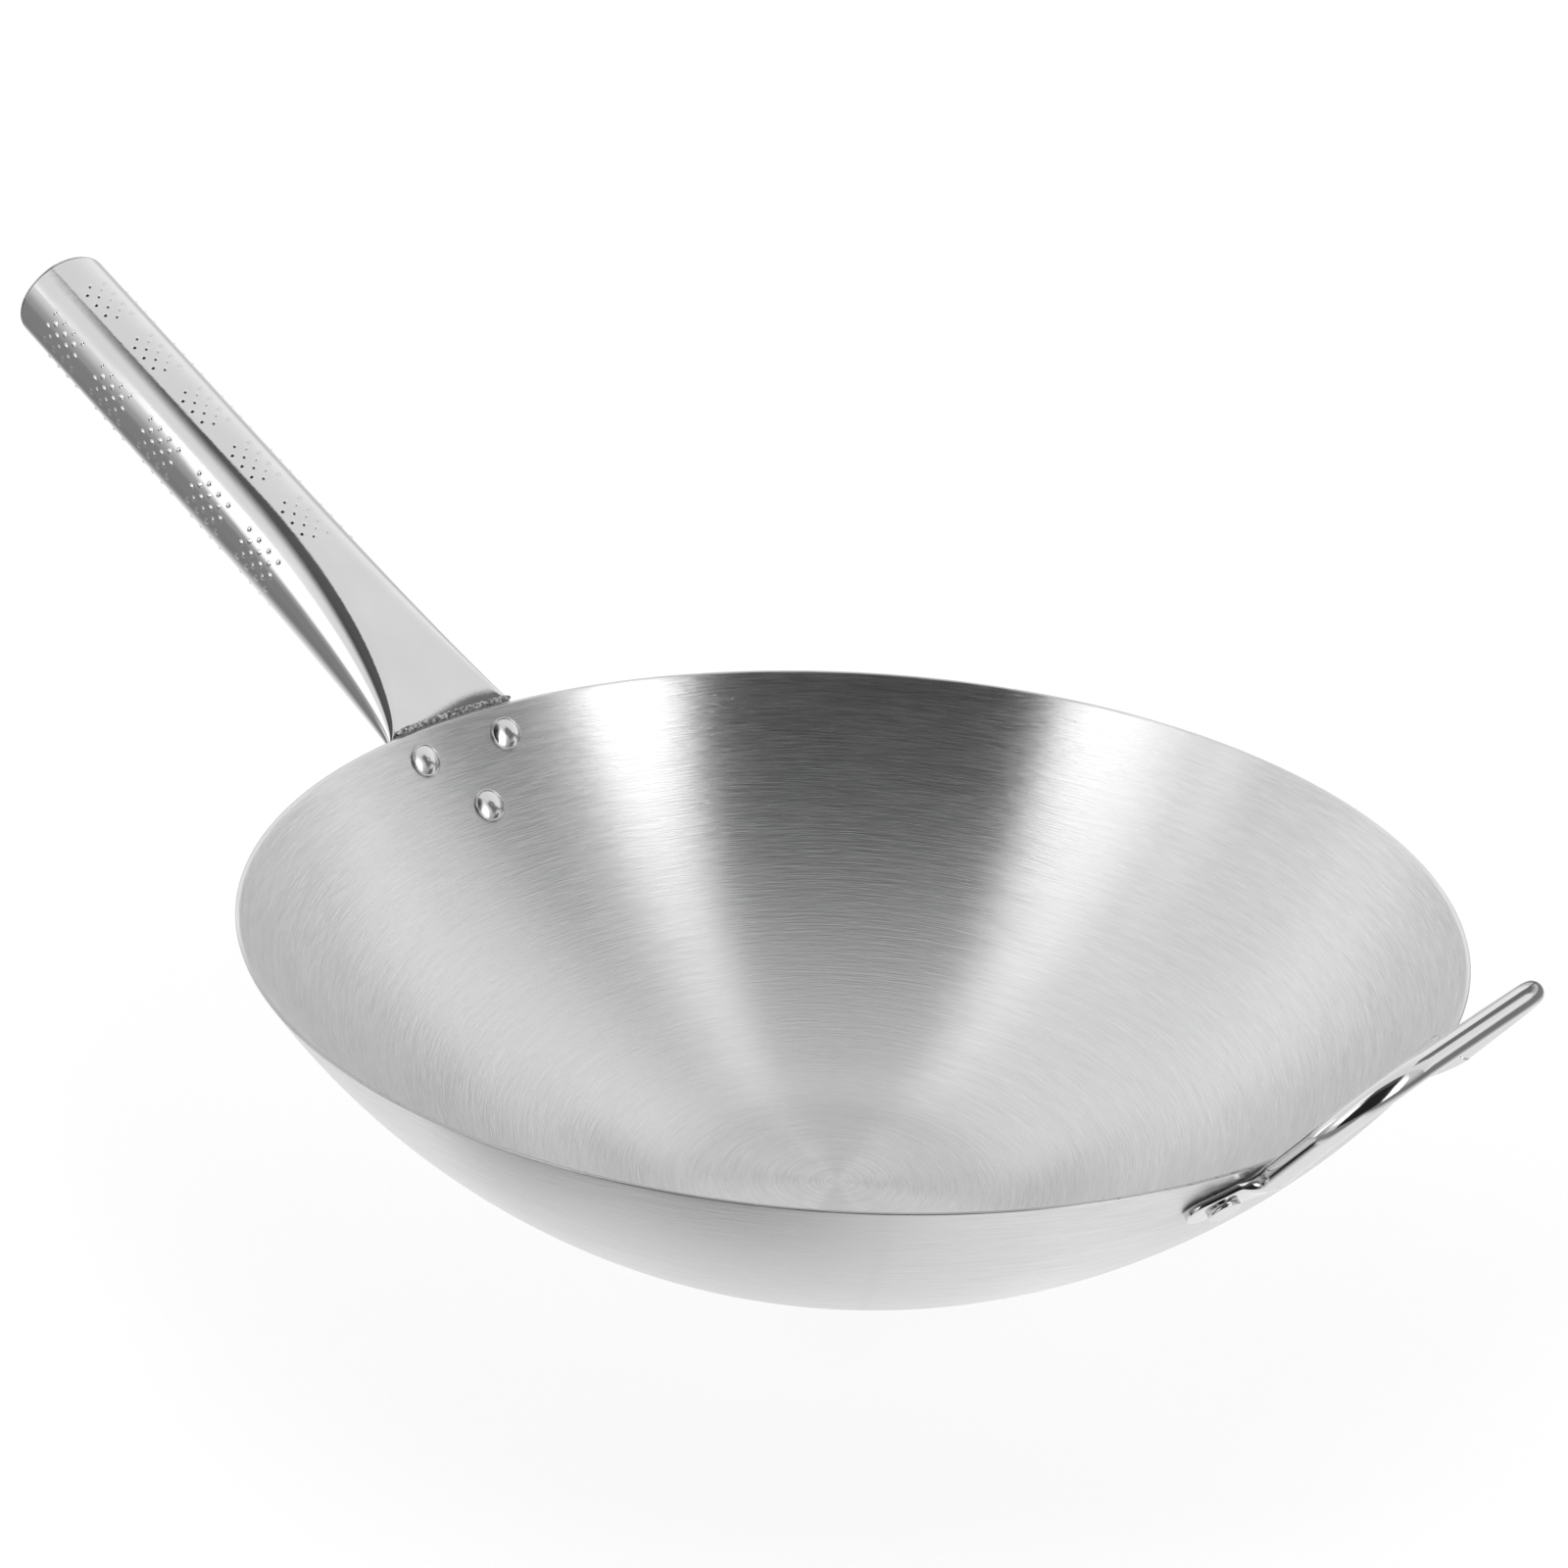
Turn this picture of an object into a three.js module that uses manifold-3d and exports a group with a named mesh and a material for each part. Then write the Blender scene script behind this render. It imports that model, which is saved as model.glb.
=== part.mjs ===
// Stainless steel wok: a spun bowl with a small flat base, a long tube handle that is pinched flat into a
// riveted tang, and a helper handle bent from rod with flattened feet.
// Millimetres, +Z up. The origin is the centre of the flat base, and +X runs out along the long handle.
import * as THREE from 'three';
import { mergeVertices } from 'three/addons/utils/BufferGeometryUtils.js';
import Module from 'manifold-3d';

const wasm = await Module();
wasm.setup();

// Bowl: flat base, then a knuckle arc, then one wall arc up to a rim that is cut level
const RIM_RADIUS = 160;
const BOWL_HEIGHT = 88;
const BASE_RADIUS = 38;
const KNUCKLE_ARC = 65;
const WALL_ARC = 199;
const SHEET = 1;

// Clearances between pieces that are pressed together, and around a rivet's shank
const SEAT_GAP = 0.35;
const HOLE_GAP = 0.3;

// Long handle: a tube whose end is pinched into a tang that follows the outside of the wall
const HANDLE_LENGTH = 208.6;
const HANDLE_RISE = THREE.MathUtils.degToRad(25.5);
const HANDLE_DROP = 3;
const TUBE_DIAMETER = 32;
const TUBE_WALL = 0.8;
const PINCH_LENGTH = 100;
const PINCH_POWER = 0.7;
const TANG_THICKNESS = 2.2;
const TANG_LENGTH = 38;
const TANG_TIP_WIDTH = 20;
const TANG_ROUNDING = 24;
const TANG_BEND = 6;

// End cap: a shallow domed plug with a flange as wide as the tube
const CAP_FLANGE = 0.7;
const CAP_DOME = 0.6;
const CAP_SPIGOT = 7;
const CAP_SHEET = 0.6;

// Weld bead in the notch between the rim and the top of the handle
const WELD_RADIUS = 1.1;
const WELD_LENGTH = 44;

// Rivets: a domed head with a thin flange inside the bowl, and a flat tail outside
const RIVET_HEAD_RADIUS = 5;
const RIVET_HEAD_HEIGHT = 1.6;
const RIVET_FLANGE = 0.5;
const RIVET_LIP = 0.5;
const RIVET_SHANK_RADIUS = 2.5;
const RIVET_TAIL_RADIUS = 4.1;
const RIVET_TAIL_HEIGHT = 1.2;
const RIVET_TAIL_BEVEL = 0.4;

// Rivet places on the tang: distances down the wall from the rim, and in from the tang's sides
const TANG_RIVET_UPPER_DROP = 9.3;
const TANG_RIVET_LOWER_DROP = 28.4;
const TANG_RIVET_EDGE = 8.9;

// Helper handle: a rod loop whose flattened feet lie on the outside of the wall. Its middle is turned
// a little about the bowl's axis, away from the point opposite the long handle
const ROD_RADIUS = 3;
const HELPER_TURN = THREE.MathUtils.degToRad(3);
const LOOP_HALF_WIDTH = 41.9;
const LOOP_REACH = 35.7;
const LOOP_RISE = THREE.MathUtils.degToRad(52.7);
const LOOP_BEND = 20;
const FOOT_CORNER_DROP = 6.9;
const FOOT_SLANT = THREE.MathUtils.degToRad(28);
const FOOT_BEND = 8;
const FOOT_LENGTH = 18.9;
const FOOT_WIDTH = 10.4;
const FOOT_THICKNESS = 2.2;
const FOOT_SQUARENESS = 0.4;
const FOOT_RIVET_INSET = 9;

// Facets
const BOWL_SIDES = 80;
const WALL_STEPS = 12;
const KNUCKLE_STEPS = 4;
const RIVET_SIDES = 20;
const TUBE_QUARTER = 8;
const FOLD_CROWDING = 1.8;
const PINCH_CROWDING = 1.5;
const ROD_SIDES = 16;
const WELD_SIDES = 8;

const brushedSteel = new THREE.MeshStandardMaterial({ color: 0xc6c8c9, roughness: 0.36, metalness: 1 });
const polishedSteel = new THREE.MeshStandardMaterial({ color: 0xd2d4d5, roughness: 0.12, metalness: 1 });
const weldSteel = new THREE.MeshStandardMaterial({ color: 0x8d8f90, roughness: 0.5, metalness: 1 });

// Solids

// Geometry with nothing but its shared points and the triangles between them.
function weldPoints(geometry) {
  const bare = geometry.clone();
  bare.deleteAttribute('normal');
  bare.deleteAttribute('uv');
  const merged = mergeVertices(bare);
  const corners = merged.getIndex().array;
  const kept = [];
  for (let i = 0; i < corners.length; i += 3) {
    const [a, b, c] = [corners[i], corners[i + 1], corners[i + 2]];
    if (a !== b && b !== c && c !== a) kept.push(a, b, c);
  }
  merged.setIndex(kept);
  return merged;
}

function toSolid(geometry) {
  const merged = weldPoints(geometry);
  const vertProperties = new Float32Array(merged.getAttribute('position').array);
  const triVerts = new Uint32Array(merged.getIndex().array);
  return new wasm.Manifold(new wasm.Mesh({ numProp: 3, vertProperties, triVerts }));
}

function toGeometry(solid) {
  const mesh = solid.getMesh();
  const geometry = new THREE.BufferGeometry();
  geometry.setAttribute('position', new THREE.BufferAttribute(new Float32Array(mesh.vertProperties), 3));
  geometry.setIndex(Array.from(mesh.triVerts));
  return geometry;
}

// The geometry with a round hole along each axis in the list.
function drill(geometry, axes, radius, depth) {
  let solid = toSolid(geometry);
  for (const frame of axes) {
    const bit = new THREE.CylinderGeometry(radius, radius, depth, RIVET_SIDES);
    bit.rotateX(Math.PI / 2);
    bit.applyMatrix4(frame);
    solid = solid.subtract(toSolid(bit));
  }
  return toGeometry(solid);
}

// A skin over rings of points that all have the same count, closed by a fan at each end.
function loft(rings) {
  const count = rings[0].length;
  const points = rings.flat();
  const triangles = [];
  for (let r = 0; r + 1 < rings.length; r++) {
    for (let i = 0; i < count; i++) {
      const a = r * count + i;
      const b = r * count + (i + 1) % count;
      triangles.push(a, b, a + count, b, b + count, a + count);
    }
  }
  const ends = [{ ring: rings[0], first: 0, turn: 1 },
    { ring: rings.at(-1), first: (rings.length - 1) * count, turn: 0 }];
  for (const { ring, first, turn } of ends) {
    const middle = new THREE.Vector3();
    for (const point of ring) middle.addScaledVector(point, 1 / count);
    const hub = points.push(middle) - 1;
    for (let i = 0; i < count; i++) {
      const pair = [first + i, first + (i + 1) % count];
      triangles.push(hub, pair[turn], pair[1 - turn]);
    }
  }
  const geometry = new THREE.BufferGeometry().setFromPoints(points);
  geometry.setIndex(triangles);
  return geometry;
}

// A profile of (radius, height) points turned about the Z axis.
function turned(profile, sides) {
  const lathe = new THREE.LatheGeometry(profile, sides);
  lathe.rotateX(Math.PI / 2);
  return weldPoints(lathe);
}

const smooth = (share) => THREE.MathUtils.smoothstep(share, 0, 1);

// Bowl wall

const rimPoint = new THREE.Vector2(RIM_RADIUS, BOWL_HEIGHT);
const knuckleCentre = new THREE.Vector2(BASE_RADIUS, KNUCKLE_ARC);

// The wall arc passes through the rim and runs smoothly into the knuckle arc, so its centre lies one wall
// radius from the rim, and a wall radius less a knuckle radius from the knuckle's centre.
function findWallCentre() {
  const toKnuckle = knuckleCentre.clone().sub(rimPoint);
  const apart = toKnuckle.length();
  const reach = WALL_ARC - KNUCKLE_ARC;
  const along = (WALL_ARC * WALL_ARC - reach * reach + apart * apart) / (2 * apart);
  const across = Math.sqrt(WALL_ARC * WALL_ARC - along * along);
  const unit = toKnuckle.divideScalar(apart);
  return new THREE.Vector2(
    rimPoint.x + unit.x * along + unit.y * across,
    rimPoint.y + unit.y * along - unit.x * across);
}

const wallCentre = findWallCentre();
const rimSlope = Math.atan2(RIM_RADIUS - wallCentre.x, wallCentre.y - BOWL_HEIGHT);
const knuckleSlope = Math.atan2(knuckleCentre.x - wallCentre.x, wallCentre.y - knuckleCentre.y);

// A point on an arc that curves up from below its centre, where the slope is the given angle.
function arcPoint(centre, radius, slope) {
  return new THREE.Vector2(centre.x + radius * Math.sin(slope), centre.y - radius * Math.cos(slope));
}

// Slope of the wall at a distance down it from the rim.
const slopeAt = (drop) => rimSlope - drop / WALL_ARC;

// Point on the wall's outside, moved outwards, as (radius, height).
const wallPoint = (drop, outwards) => arcPoint(wallCentre, WALL_ARC + outwards, slopeAt(drop));

// Half of the bowl's section, from the axis to the rim, at a depth inside the outer skin.
function skin(depth) {
  const points = [new THREE.Vector2(0, depth)];
  for (let i = 0; i < KNUCKLE_STEPS; i++) {
    points.push(arcPoint(knuckleCentre, KNUCKLE_ARC - depth, knuckleSlope * i / KNUCKLE_STEPS));
  }
  const radius = WALL_ARC - depth;
  const top = Math.acos((wallCentre.y - BOWL_HEIGHT) / radius);
  for (let i = 0; i <= WALL_STEPS; i++) {
    points.push(arcPoint(wallCentre, radius, THREE.MathUtils.lerp(knuckleSlope, top, i / WALL_STEPS)));
  }
  return points;
}

// A frame on the wall: +Z points into the bowl, +X up the wall, and the origin is on the inner skin.
function wallFrame(azimuth, drop) {
  const slope = slopeAt(drop);
  const spot = wallPoint(drop, -SHEET);
  const inwards = new THREE.Vector3(-Math.sin(slope), 0, Math.cos(slope));
  const upwards = new THREE.Vector3(Math.cos(slope), 0, Math.sin(slope));
  const sideways = new THREE.Vector3().crossVectors(inwards, upwards);
  const frame = new THREE.Matrix4().makeBasis(upwards, sideways, inwards);
  frame.setPosition(spot.x, 0, spot.y);
  return frame.premultiply(new THREE.Matrix4().makeRotationZ(azimuth));
}

// Long handle

const skinLength = Math.PI * TUBE_DIAMETER;
const tangOffset = SEAT_GAP + TANG_THICKNESS / 2;
const axisStart = new THREE.Vector2(RIM_RADIUS, BOWL_HEIGHT - HANDLE_DROP);
const axisAlong = new THREE.Vector2(Math.cos(HANDLE_RISE), Math.sin(HANDLE_RISE));

// The bend that turns the tang off the wall: an arc that touches the tang's own arc and the tube's axis.
function findTangBend() {
  const below = new THREE.Vector2(axisAlong.y, -axisAlong.x).multiplyScalar(TANG_BEND);
  const start = axisStart.clone().add(below).sub(wallCentre);
  const reach = WALL_ARC + tangOffset + TANG_BEND;
  const half = start.dot(axisAlong);
  const along = -half + Math.sqrt(half * half - start.lengthSq() + reach * reach);
  const centre = axisStart.clone().addScaledVector(axisAlong, along).add(below);
  const slope = Math.atan2(centre.x - wallCentre.x, wallCentre.y - centre.y);
  return { centre, along, slope, drop: (rimSlope - slope) * WALL_ARC };
}

const tangBend = findTangBend();
const pinchStart = axisStart.clone().addScaledVector(axisAlong, tangBend.along);
const tubeLength = HANDLE_LENGTH - CAP_FLANGE - SEAT_GAP - tangBend.along;

// Height of the pinched tube at a distance from the bend: a quarter sine wave up to the full diameter, over a
// power of the distance, so that the tube opens quickly at first and then slowly.
function pinchHeight(distance) {
  const share = Math.min(distance / PINCH_LENGTH, 1) ** PINCH_POWER;
  return THREE.MathUtils.lerp(TANG_THICKNESS, TUBE_DIAMETER, Math.sin(share * Math.PI / 2));
}

// Point on a tube's skin that is pressed to a height without being stretched: two flats and two round folds.
// The share runs from 0 at the fold to 1 at the middle of the flat. Gives (sideways, up).
function foldPoint(share, height, length) {
  const travel = share * length / 4;
  const fold = Math.PI * height / 4;
  const flat = length / 4 - fold;
  if (travel > fold) return new THREE.Vector2(flat + fold - travel, height / 2);
  const turn = travel / (height / 2);
  return new THREE.Vector2(flat + Math.cos(turn) * height / 2, Math.sin(turn) * height / 2);
}

// One ring of the handle's skin. A station has its place and slope in the XZ plane, the pressed height, the
// share of the width that is left after trimming, and how strongly the section is wrapped round the bowl.
function handleRing(station, wall) {
  const { place, slope, height, trim, wrap } = station;
  const quarter = [];
  for (let i = 0; i <= TUBE_QUARTER; i++) {
    const share = (i / TUBE_QUARTER) ** FOLD_CROWDING;
    quarter.push(foldPoint(share, height - 2 * wall, skinLength - 2 * Math.PI * wall));
  }
  const outline = [];
  for (let i = 0; i < TUBE_QUARTER; i++) outline.push([quarter[i].x, quarter[i].y]);
  for (let i = TUBE_QUARTER; i > 0; i--) outline.push([-quarter[i].x, quarter[i].y]);
  for (let i = 0; i < TUBE_QUARTER; i++) outline.push([-quarter[i].x, -quarter[i].y]);
  for (let i = TUBE_QUARTER; i > 0; i--) outline.push([quarter[i].x, -quarter[i].y]);
  return outline.map(([sideways, up]) => {
    const turn = sideways * trim * wrap;
    const back = wrap > 0 ? (1 - Math.cos(turn)) / wrap : 0;
    const side = wrap > 0 ? Math.sin(turn) / wrap : sideways * trim;
    const lean = -Math.sin(slope) * up;
    return new THREE.Vector3(
      place.x - back + lean * Math.cos(turn),
      side + lean * Math.sin(turn),
      place.y + Math.cos(slope) * up);
  });
}

const tangHalfWidth = foldPoint(0, TANG_THICKNESS, skinLength).x;

// Share of the tang's width at a distance from its tip: a tongue with a rounded end.
function tongueShare(distance) {
  const tip = TANG_TIP_WIDTH / (2 * tangHalfWidth);
  const left = 1 - Math.min(distance / TANG_ROUNDING, 1);
  return THREE.MathUtils.lerp(tip, 1, Math.sqrt(1 - left * left));
}

function handleStations() {
  const stations = [];
  const tangSteps = 12;
  for (let i = 0; i < tangSteps; i++) {
    const drop = THREE.MathUtils.lerp(TANG_LENGTH, tangBend.drop, (i / tangSteps) ** 1.4);
    const place = wallPoint(drop, tangOffset);
    stations.push({ place, slope: slopeAt(drop), height: TANG_THICKNESS,
      trim: tongueShare(TANG_LENGTH - drop), wrap: 1 / place.x });
  }
  const bendSteps = 4;
  for (let i = 0; i < bendSteps; i++) {
    const slope = THREE.MathUtils.lerp(tangBend.slope, HANDLE_RISE, i / bendSteps);
    const place = new THREE.Vector2(
      tangBend.centre.x - TANG_BEND * Math.sin(slope), tangBend.centre.y + TANG_BEND * Math.cos(slope));
    stations.push({ place, slope, height: TANG_THICKNESS, trim: 1, wrap: 1 / place.x });
  }
  const pinchSteps = 12;
  for (let i = 0; i <= pinchSteps; i++) {
    const distance = PINCH_LENGTH * (i / pinchSteps) ** PINCH_CROWDING;
    const place = pinchStart.clone().addScaledVector(axisAlong, distance);
    stations.push({ place, slope: HANDLE_RISE, height: pinchHeight(distance), trim: 1,
      wrap: (1 - smooth(distance / PINCH_LENGTH)) / pinchStart.x });
  }
  const place = pinchStart.clone().addScaledVector(axisAlong, tubeLength);
  stations.push({ place, slope: HANDLE_RISE, height: TUBE_DIAMETER, trim: 1, wrap: 0 });
  return stations;
}

function handleGeometry(rivetFrames) {
  const stations = handleStations();
  const roomy = stations.filter((station) => station.height > 8 * TUBE_WALL);
  const outside = stations.map((station) => handleRing(station, 0));
  const inside = roomy.reverse().map((station) => handleRing(station, TUBE_WALL));
  const skinned = loft([...outside, ...inside]);
  return drill(skinned, rivetFrames, RIVET_SHANK_RADIUS + HOLE_GAP, 4 * (SHEET + TANG_THICKNESS));
}

// End cap

function capGeometry() {
  const outer = TUBE_DIAMETER / 2;
  const spigot = outer - TUBE_WALL - SEAT_GAP;
  const inner = spigot - CAP_SHEET;
  const edge = CAP_FLANGE / 2;
  const ceiling = CAP_FLANGE - CAP_SHEET;
  const profile = [
    new THREE.Vector2(0, ceiling),
    new THREE.Vector2(inner, ceiling),
    new THREE.Vector2(inner, -CAP_SPIGOT),
    new THREE.Vector2(spigot, -CAP_SPIGOT),
    new THREE.Vector2(spigot, 0)];
  const edgeSteps = 4;
  for (let i = 0; i <= edgeSteps; i++) {
    const turn = -Math.PI / 2 + Math.PI * i / edgeSteps;
    profile.push(new THREE.Vector2(outer - edge + edge * Math.cos(turn), edge + edge * Math.sin(turn)));
  }
  const domeSteps = 5;
  for (let i = 1; i <= domeSteps; i++) {
    const out = 1 - i / domeSteps;
    profile.push(new THREE.Vector2((outer - edge) * out, CAP_FLANGE + CAP_DOME * (1 - out * out)));
  }
  return turned(profile, 4 * TUBE_QUARTER);
}

// Weld bead

// Centre of the bead: as far from the rim's outer corner as from the top of the pinched handle.
function findWeldCentre() {
  const seat = WELD_RADIUS + SEAT_GAP;
  const top = handleStations().map(({ place, slope, height }) => new THREE.Vector2(
    place.x - Math.sin(slope) * height / 2, place.y + Math.cos(slope) * height / 2));
  const nearest = (point) => Math.min(...top.slice(1).map((end, i) => {
    const run = end.clone().sub(top[i]);
    const share = point.clone().sub(top[i]).dot(run) / run.lengthSq();
    return top[i].clone().addScaledVector(run, THREE.MathUtils.clamp(share, 0, 1)).distanceTo(point);
  }));
  let low = -Math.PI / 3;
  let high = Math.PI / 2;
  const at = (turn) => new THREE.Vector2(Math.cos(turn), Math.sin(turn)).multiplyScalar(seat).add(rimPoint);
  for (let i = 0; i < 30; i++) {
    const middle = (low + high) / 2;
    if (nearest(at(middle)) < seat) low = middle;
    else high = middle;
  }
  return at(high);
}

function weldGeometry() {
  const centre = findWeldCentre();
  const steps = 22;
  const rings = [];
  for (let i = 0; i <= steps; i++) {
    const share = 2 * i / steps - 1;
    const turn = share * WELD_LENGTH / 2 / centre.x;
    const radius = WELD_RADIUS * (1 - 0.75 * share ** 8);
    const ring = [];
    for (let k = 0; k < WELD_SIDES; k++) {
      const angle = 2 * Math.PI * k / WELD_SIDES;
      const out = centre.x + radius * Math.cos(angle);
      const height = centre.y + radius * Math.sin(angle);
      ring.push(new THREE.Vector3(out * Math.cos(turn), out * Math.sin(turn), height));
    }
    rings.push(ring);
  }
  return loft(rings.reverse());
}

// Rivets

function rivetGeometry(plate) {
  const tailTop = -(SHEET + SEAT_GAP + plate + SEAT_GAP);
  const tailEnd = tailTop - RIVET_TAIL_HEIGHT;
  const head = SEAT_GAP;
  const dome = RIVET_HEAD_RADIUS - RIVET_LIP;
  const profile = [
    new THREE.Vector2(0, tailEnd),
    new THREE.Vector2(RIVET_TAIL_RADIUS - RIVET_TAIL_BEVEL, tailEnd),
    new THREE.Vector2(RIVET_TAIL_RADIUS, tailEnd + RIVET_TAIL_BEVEL),
    new THREE.Vector2(RIVET_TAIL_RADIUS, tailTop),
    new THREE.Vector2(RIVET_SHANK_RADIUS, tailTop),
    new THREE.Vector2(RIVET_SHANK_RADIUS, head),
    new THREE.Vector2(RIVET_HEAD_RADIUS, head),
    new THREE.Vector2(RIVET_HEAD_RADIUS, head + RIVET_FLANGE)];
  const domeSteps = 4;
  for (let i = 0; i <= domeSteps; i++) {
    const out = 1 - i / domeSteps;
    const rise = (RIVET_HEAD_HEIGHT - RIVET_FLANGE) * (1 - out * out);
    profile.push(new THREE.Vector2(dome * out, head + RIVET_FLANGE + rise));
  }
  return turned(profile, RIVET_SIDES);
}

// Helper handle

const legOut = wallPoint(0, SEAT_GAP + ROD_RADIUS);
const legAzimuth = Math.asin(LOOP_HALF_WIDTH / legOut.x);
const legReach = legOut.x * Math.cos(legAzimuth);

// The rod's route on the wall, from the foot's tip to the rim, laid flat: a slanting foot, a bend and a leg.
// Gives the distance towards the tip from the leg, and the drop below the rim, at a distance along the route.
const footTurn = Math.PI / 2 - FOOT_SLANT;
const bendStart = FOOT_BEND * Math.tan(footTurn / 2);
const footRun = FOOT_LENGTH - bendStart;
const bendRun = FOOT_BEND * footTurn;
const legRun = FOOT_CORNER_DROP - bendStart;
const wallRun = footRun + bendRun + legRun;
function footRoute(distance) {
  if (distance > footRun + bendRun) return { aside: 0, drop: wallRun - distance };
  if (distance < footRun) {
    const left = FOOT_LENGTH - distance;
    return { aside: left * Math.cos(FOOT_SLANT), drop: FOOT_CORNER_DROP + left * Math.sin(FOOT_SLANT) };
  }
  const turn = (footRun + bendRun - distance) / FOOT_BEND;
  return { aside: FOOT_BEND * (1 - Math.cos(turn)), drop: legRun + FOOT_BEND * Math.sin(turn) };
}

// Azimuth from the helper's middle, for a distance aside from the leg.
const footAzimuth = (aside) => legAzimuth + aside / RIM_RADIUS;

// One station on the wall: the rod is flat from its tip to past its rivet, and round again at the rim.
function footStation(distance) {
  const { aside, drop } = footRoute(distance);
  const flatRun = FOOT_RIVET_INSET + RIVET_TAIL_RADIUS;
  const rounding = smooth((distance - flatRun) / (wallRun - flatRun));
  const power = THREE.MathUtils.lerp(FOOT_SQUARENESS, 1, rounding);
  const thickness = THREE.MathUtils.lerp(FOOT_THICKNESS, 2 * ROD_RADIUS, rounding);
  const tip = 1 - Math.min(distance / (FOOT_WIDTH / 2), 1);
  const full = THREE.MathUtils.lerp(FOOT_WIDTH, 2 * ROD_RADIUS, rounding);
  const width = full * Math.max(Math.sqrt(1 - tip * tip), 0.3);
  const spot = wallPoint(drop, SEAT_GAP + thickness / 2);
  const azimuth = footAzimuth(aside);
  const slope = slopeAt(drop);
  const out = new THREE.Vector3(-Math.cos(azimuth), Math.sin(azimuth), 0);
  const place = out.clone().multiplyScalar(spot.x).setZ(spot.y);
  const normal = out.multiplyScalar(Math.sin(slope)).setZ(-Math.cos(slope));
  return { place, normal, width, thickness, power };
}

// The loop's rod, at a reach from the rim and a distance aside from the middle, in the loop's own plane.
function loopStation(reach, aside) {
  const place = new THREE.Vector3(
    -legReach - reach * Math.cos(LOOP_RISE), aside, legOut.y + reach * Math.sin(LOOP_RISE));
  const normal = new THREE.Vector3(-Math.sin(LOOP_RISE), 0, -Math.cos(LOOP_RISE));
  return { place, normal, width: 2 * ROD_RADIUS, thickness: 2 * ROD_RADIUS, power: 1 };
}

// One half of the rod, from the foot's tip to the middle of the loop.
function halfRod() {
  const stations = [];
  const wallSteps = 18;
  for (let i = 0; i < wallSteps; i++) stations.push(footStation(wallRun * (i / wallSteps) ** 1.2));
  const straight = LOOP_REACH - LOOP_BEND;
  for (const share of [0, 0.5]) stations.push(loopStation(straight * share, LOOP_HALF_WIDTH));
  const bendSteps = 7;
  for (let i = 0; i <= bendSteps; i++) {
    const turn = Math.PI / 2 * i / bendSteps;
    stations.push(loopStation(
      straight + LOOP_BEND * Math.sin(turn), LOOP_HALF_WIDTH - LOOP_BEND * (1 - Math.cos(turn))));
  }
  return stations;
}

function helperGeometry(rivetFrames) {
  const half = halfRod();
  const other = half.map((station) => ({ ...station,
    place: station.place.clone().setY(-station.place.y),
    normal: station.normal.clone().setY(-station.normal.y) }));
  const stations = [...half, ...other.reverse()];
  const bulge = (value, power) => Math.sign(value) * Math.abs(value) ** power;
  const rings = stations.map(({ place, normal, width, thickness, power }, i) => {
    const before = stations[Math.max(i - 1, 0)].place;
    const after = stations[Math.min(i + 1, stations.length - 1)].place;
    const along = after.clone().sub(before).normalize();
    const across = new THREE.Vector3().crossVectors(normal, along).normalize();
    const ring = [];
    for (let k = 0; k < ROD_SIDES; k++) {
      const angle = 2 * Math.PI * k / ROD_SIDES;
      ring.push(place.clone()
        .addScaledVector(across, bulge(Math.cos(angle), power) * width / 2)
        .addScaledVector(normal, bulge(Math.sin(angle), power) * thickness / 2));
    }
    return ring;
  });
  return drill(loft(rings), rivetFrames, RIVET_SHANK_RADIUS + HOLE_GAP, 4 * (SHEET + FOOT_THICKNESS));
}

// Assembly

const wok = new THREE.Group();

function addPiece(name, geometry, material, frame) {
  const mesh = new THREE.Mesh(geometry, material);
  mesh.name = name;
  if (frame) mesh.applyMatrix4(frame);
  wok.add(mesh);
}

const upperRadius = wallPoint(TANG_RIVET_UPPER_DROP, 0).x;
const spreadAzimuth = (tangHalfWidth - TANG_RIVET_EDGE) / upperRadius;
const tangRivets = {
  handle_rivet_left: wallFrame(spreadAzimuth, TANG_RIVET_UPPER_DROP),
  handle_rivet_right: wallFrame(-spreadAzimuth, TANG_RIVET_UPPER_DROP),
  handle_rivet_low: wallFrame(0, TANG_RIVET_LOWER_DROP),
};

// The helper and the holes in its feet are made opposite the handle, and then turned with their rivets.
const helperFrame = new THREE.Matrix4().makeRotationZ(HELPER_TURN);
const footSpot = footRoute(FOOT_RIVET_INSET);
const footHoles = [Math.PI - footAzimuth(footSpot.aside), Math.PI + footAzimuth(footSpot.aside)]
  .map((azimuth) => wallFrame(azimuth, footSpot.drop));
const [leftFoot, rightFoot] = footHoles.map((frame) => frame.clone().premultiply(helperFrame));
const footRivets = { helper_rivet_left: leftFoot, helper_rivet_right: rightFoot };

const outerSkin = skin(0);
const innerSkin = skin(SHEET);
const dish = turned([...outerSkin, ...innerSkin.reverse()], BOWL_SIDES);
const allRivets = [...Object.values(tangRivets), ...Object.values(footRivets)];
addPiece('wok_bowl', drill(dish, allRivets, RIVET_SHANK_RADIUS + HOLE_GAP, 4 * SHEET), brushedSteel);

addPiece('main_handle', handleGeometry(Object.values(tangRivets)), polishedSteel);

const capPlace = axisStart.clone().addScaledVector(axisAlong, HANDLE_LENGTH - CAP_FLANGE);
const capFrame = new THREE.Matrix4().makeRotationY(Math.PI / 2 - HANDLE_RISE);
capFrame.setPosition(capPlace.x, 0, capPlace.y);
addPiece('handle_end_cap', capGeometry(), polishedSteel, capFrame);

addPiece('handle_weld_bead', weldGeometry(), weldSteel);

const tangRivet = rivetGeometry(TANG_THICKNESS);
for (const [name, frame] of Object.entries(tangRivets)) addPiece(name, tangRivet, polishedSteel, frame);

addPiece('helper_handle', helperGeometry(footHoles), polishedSteel, helperFrame);

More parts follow.
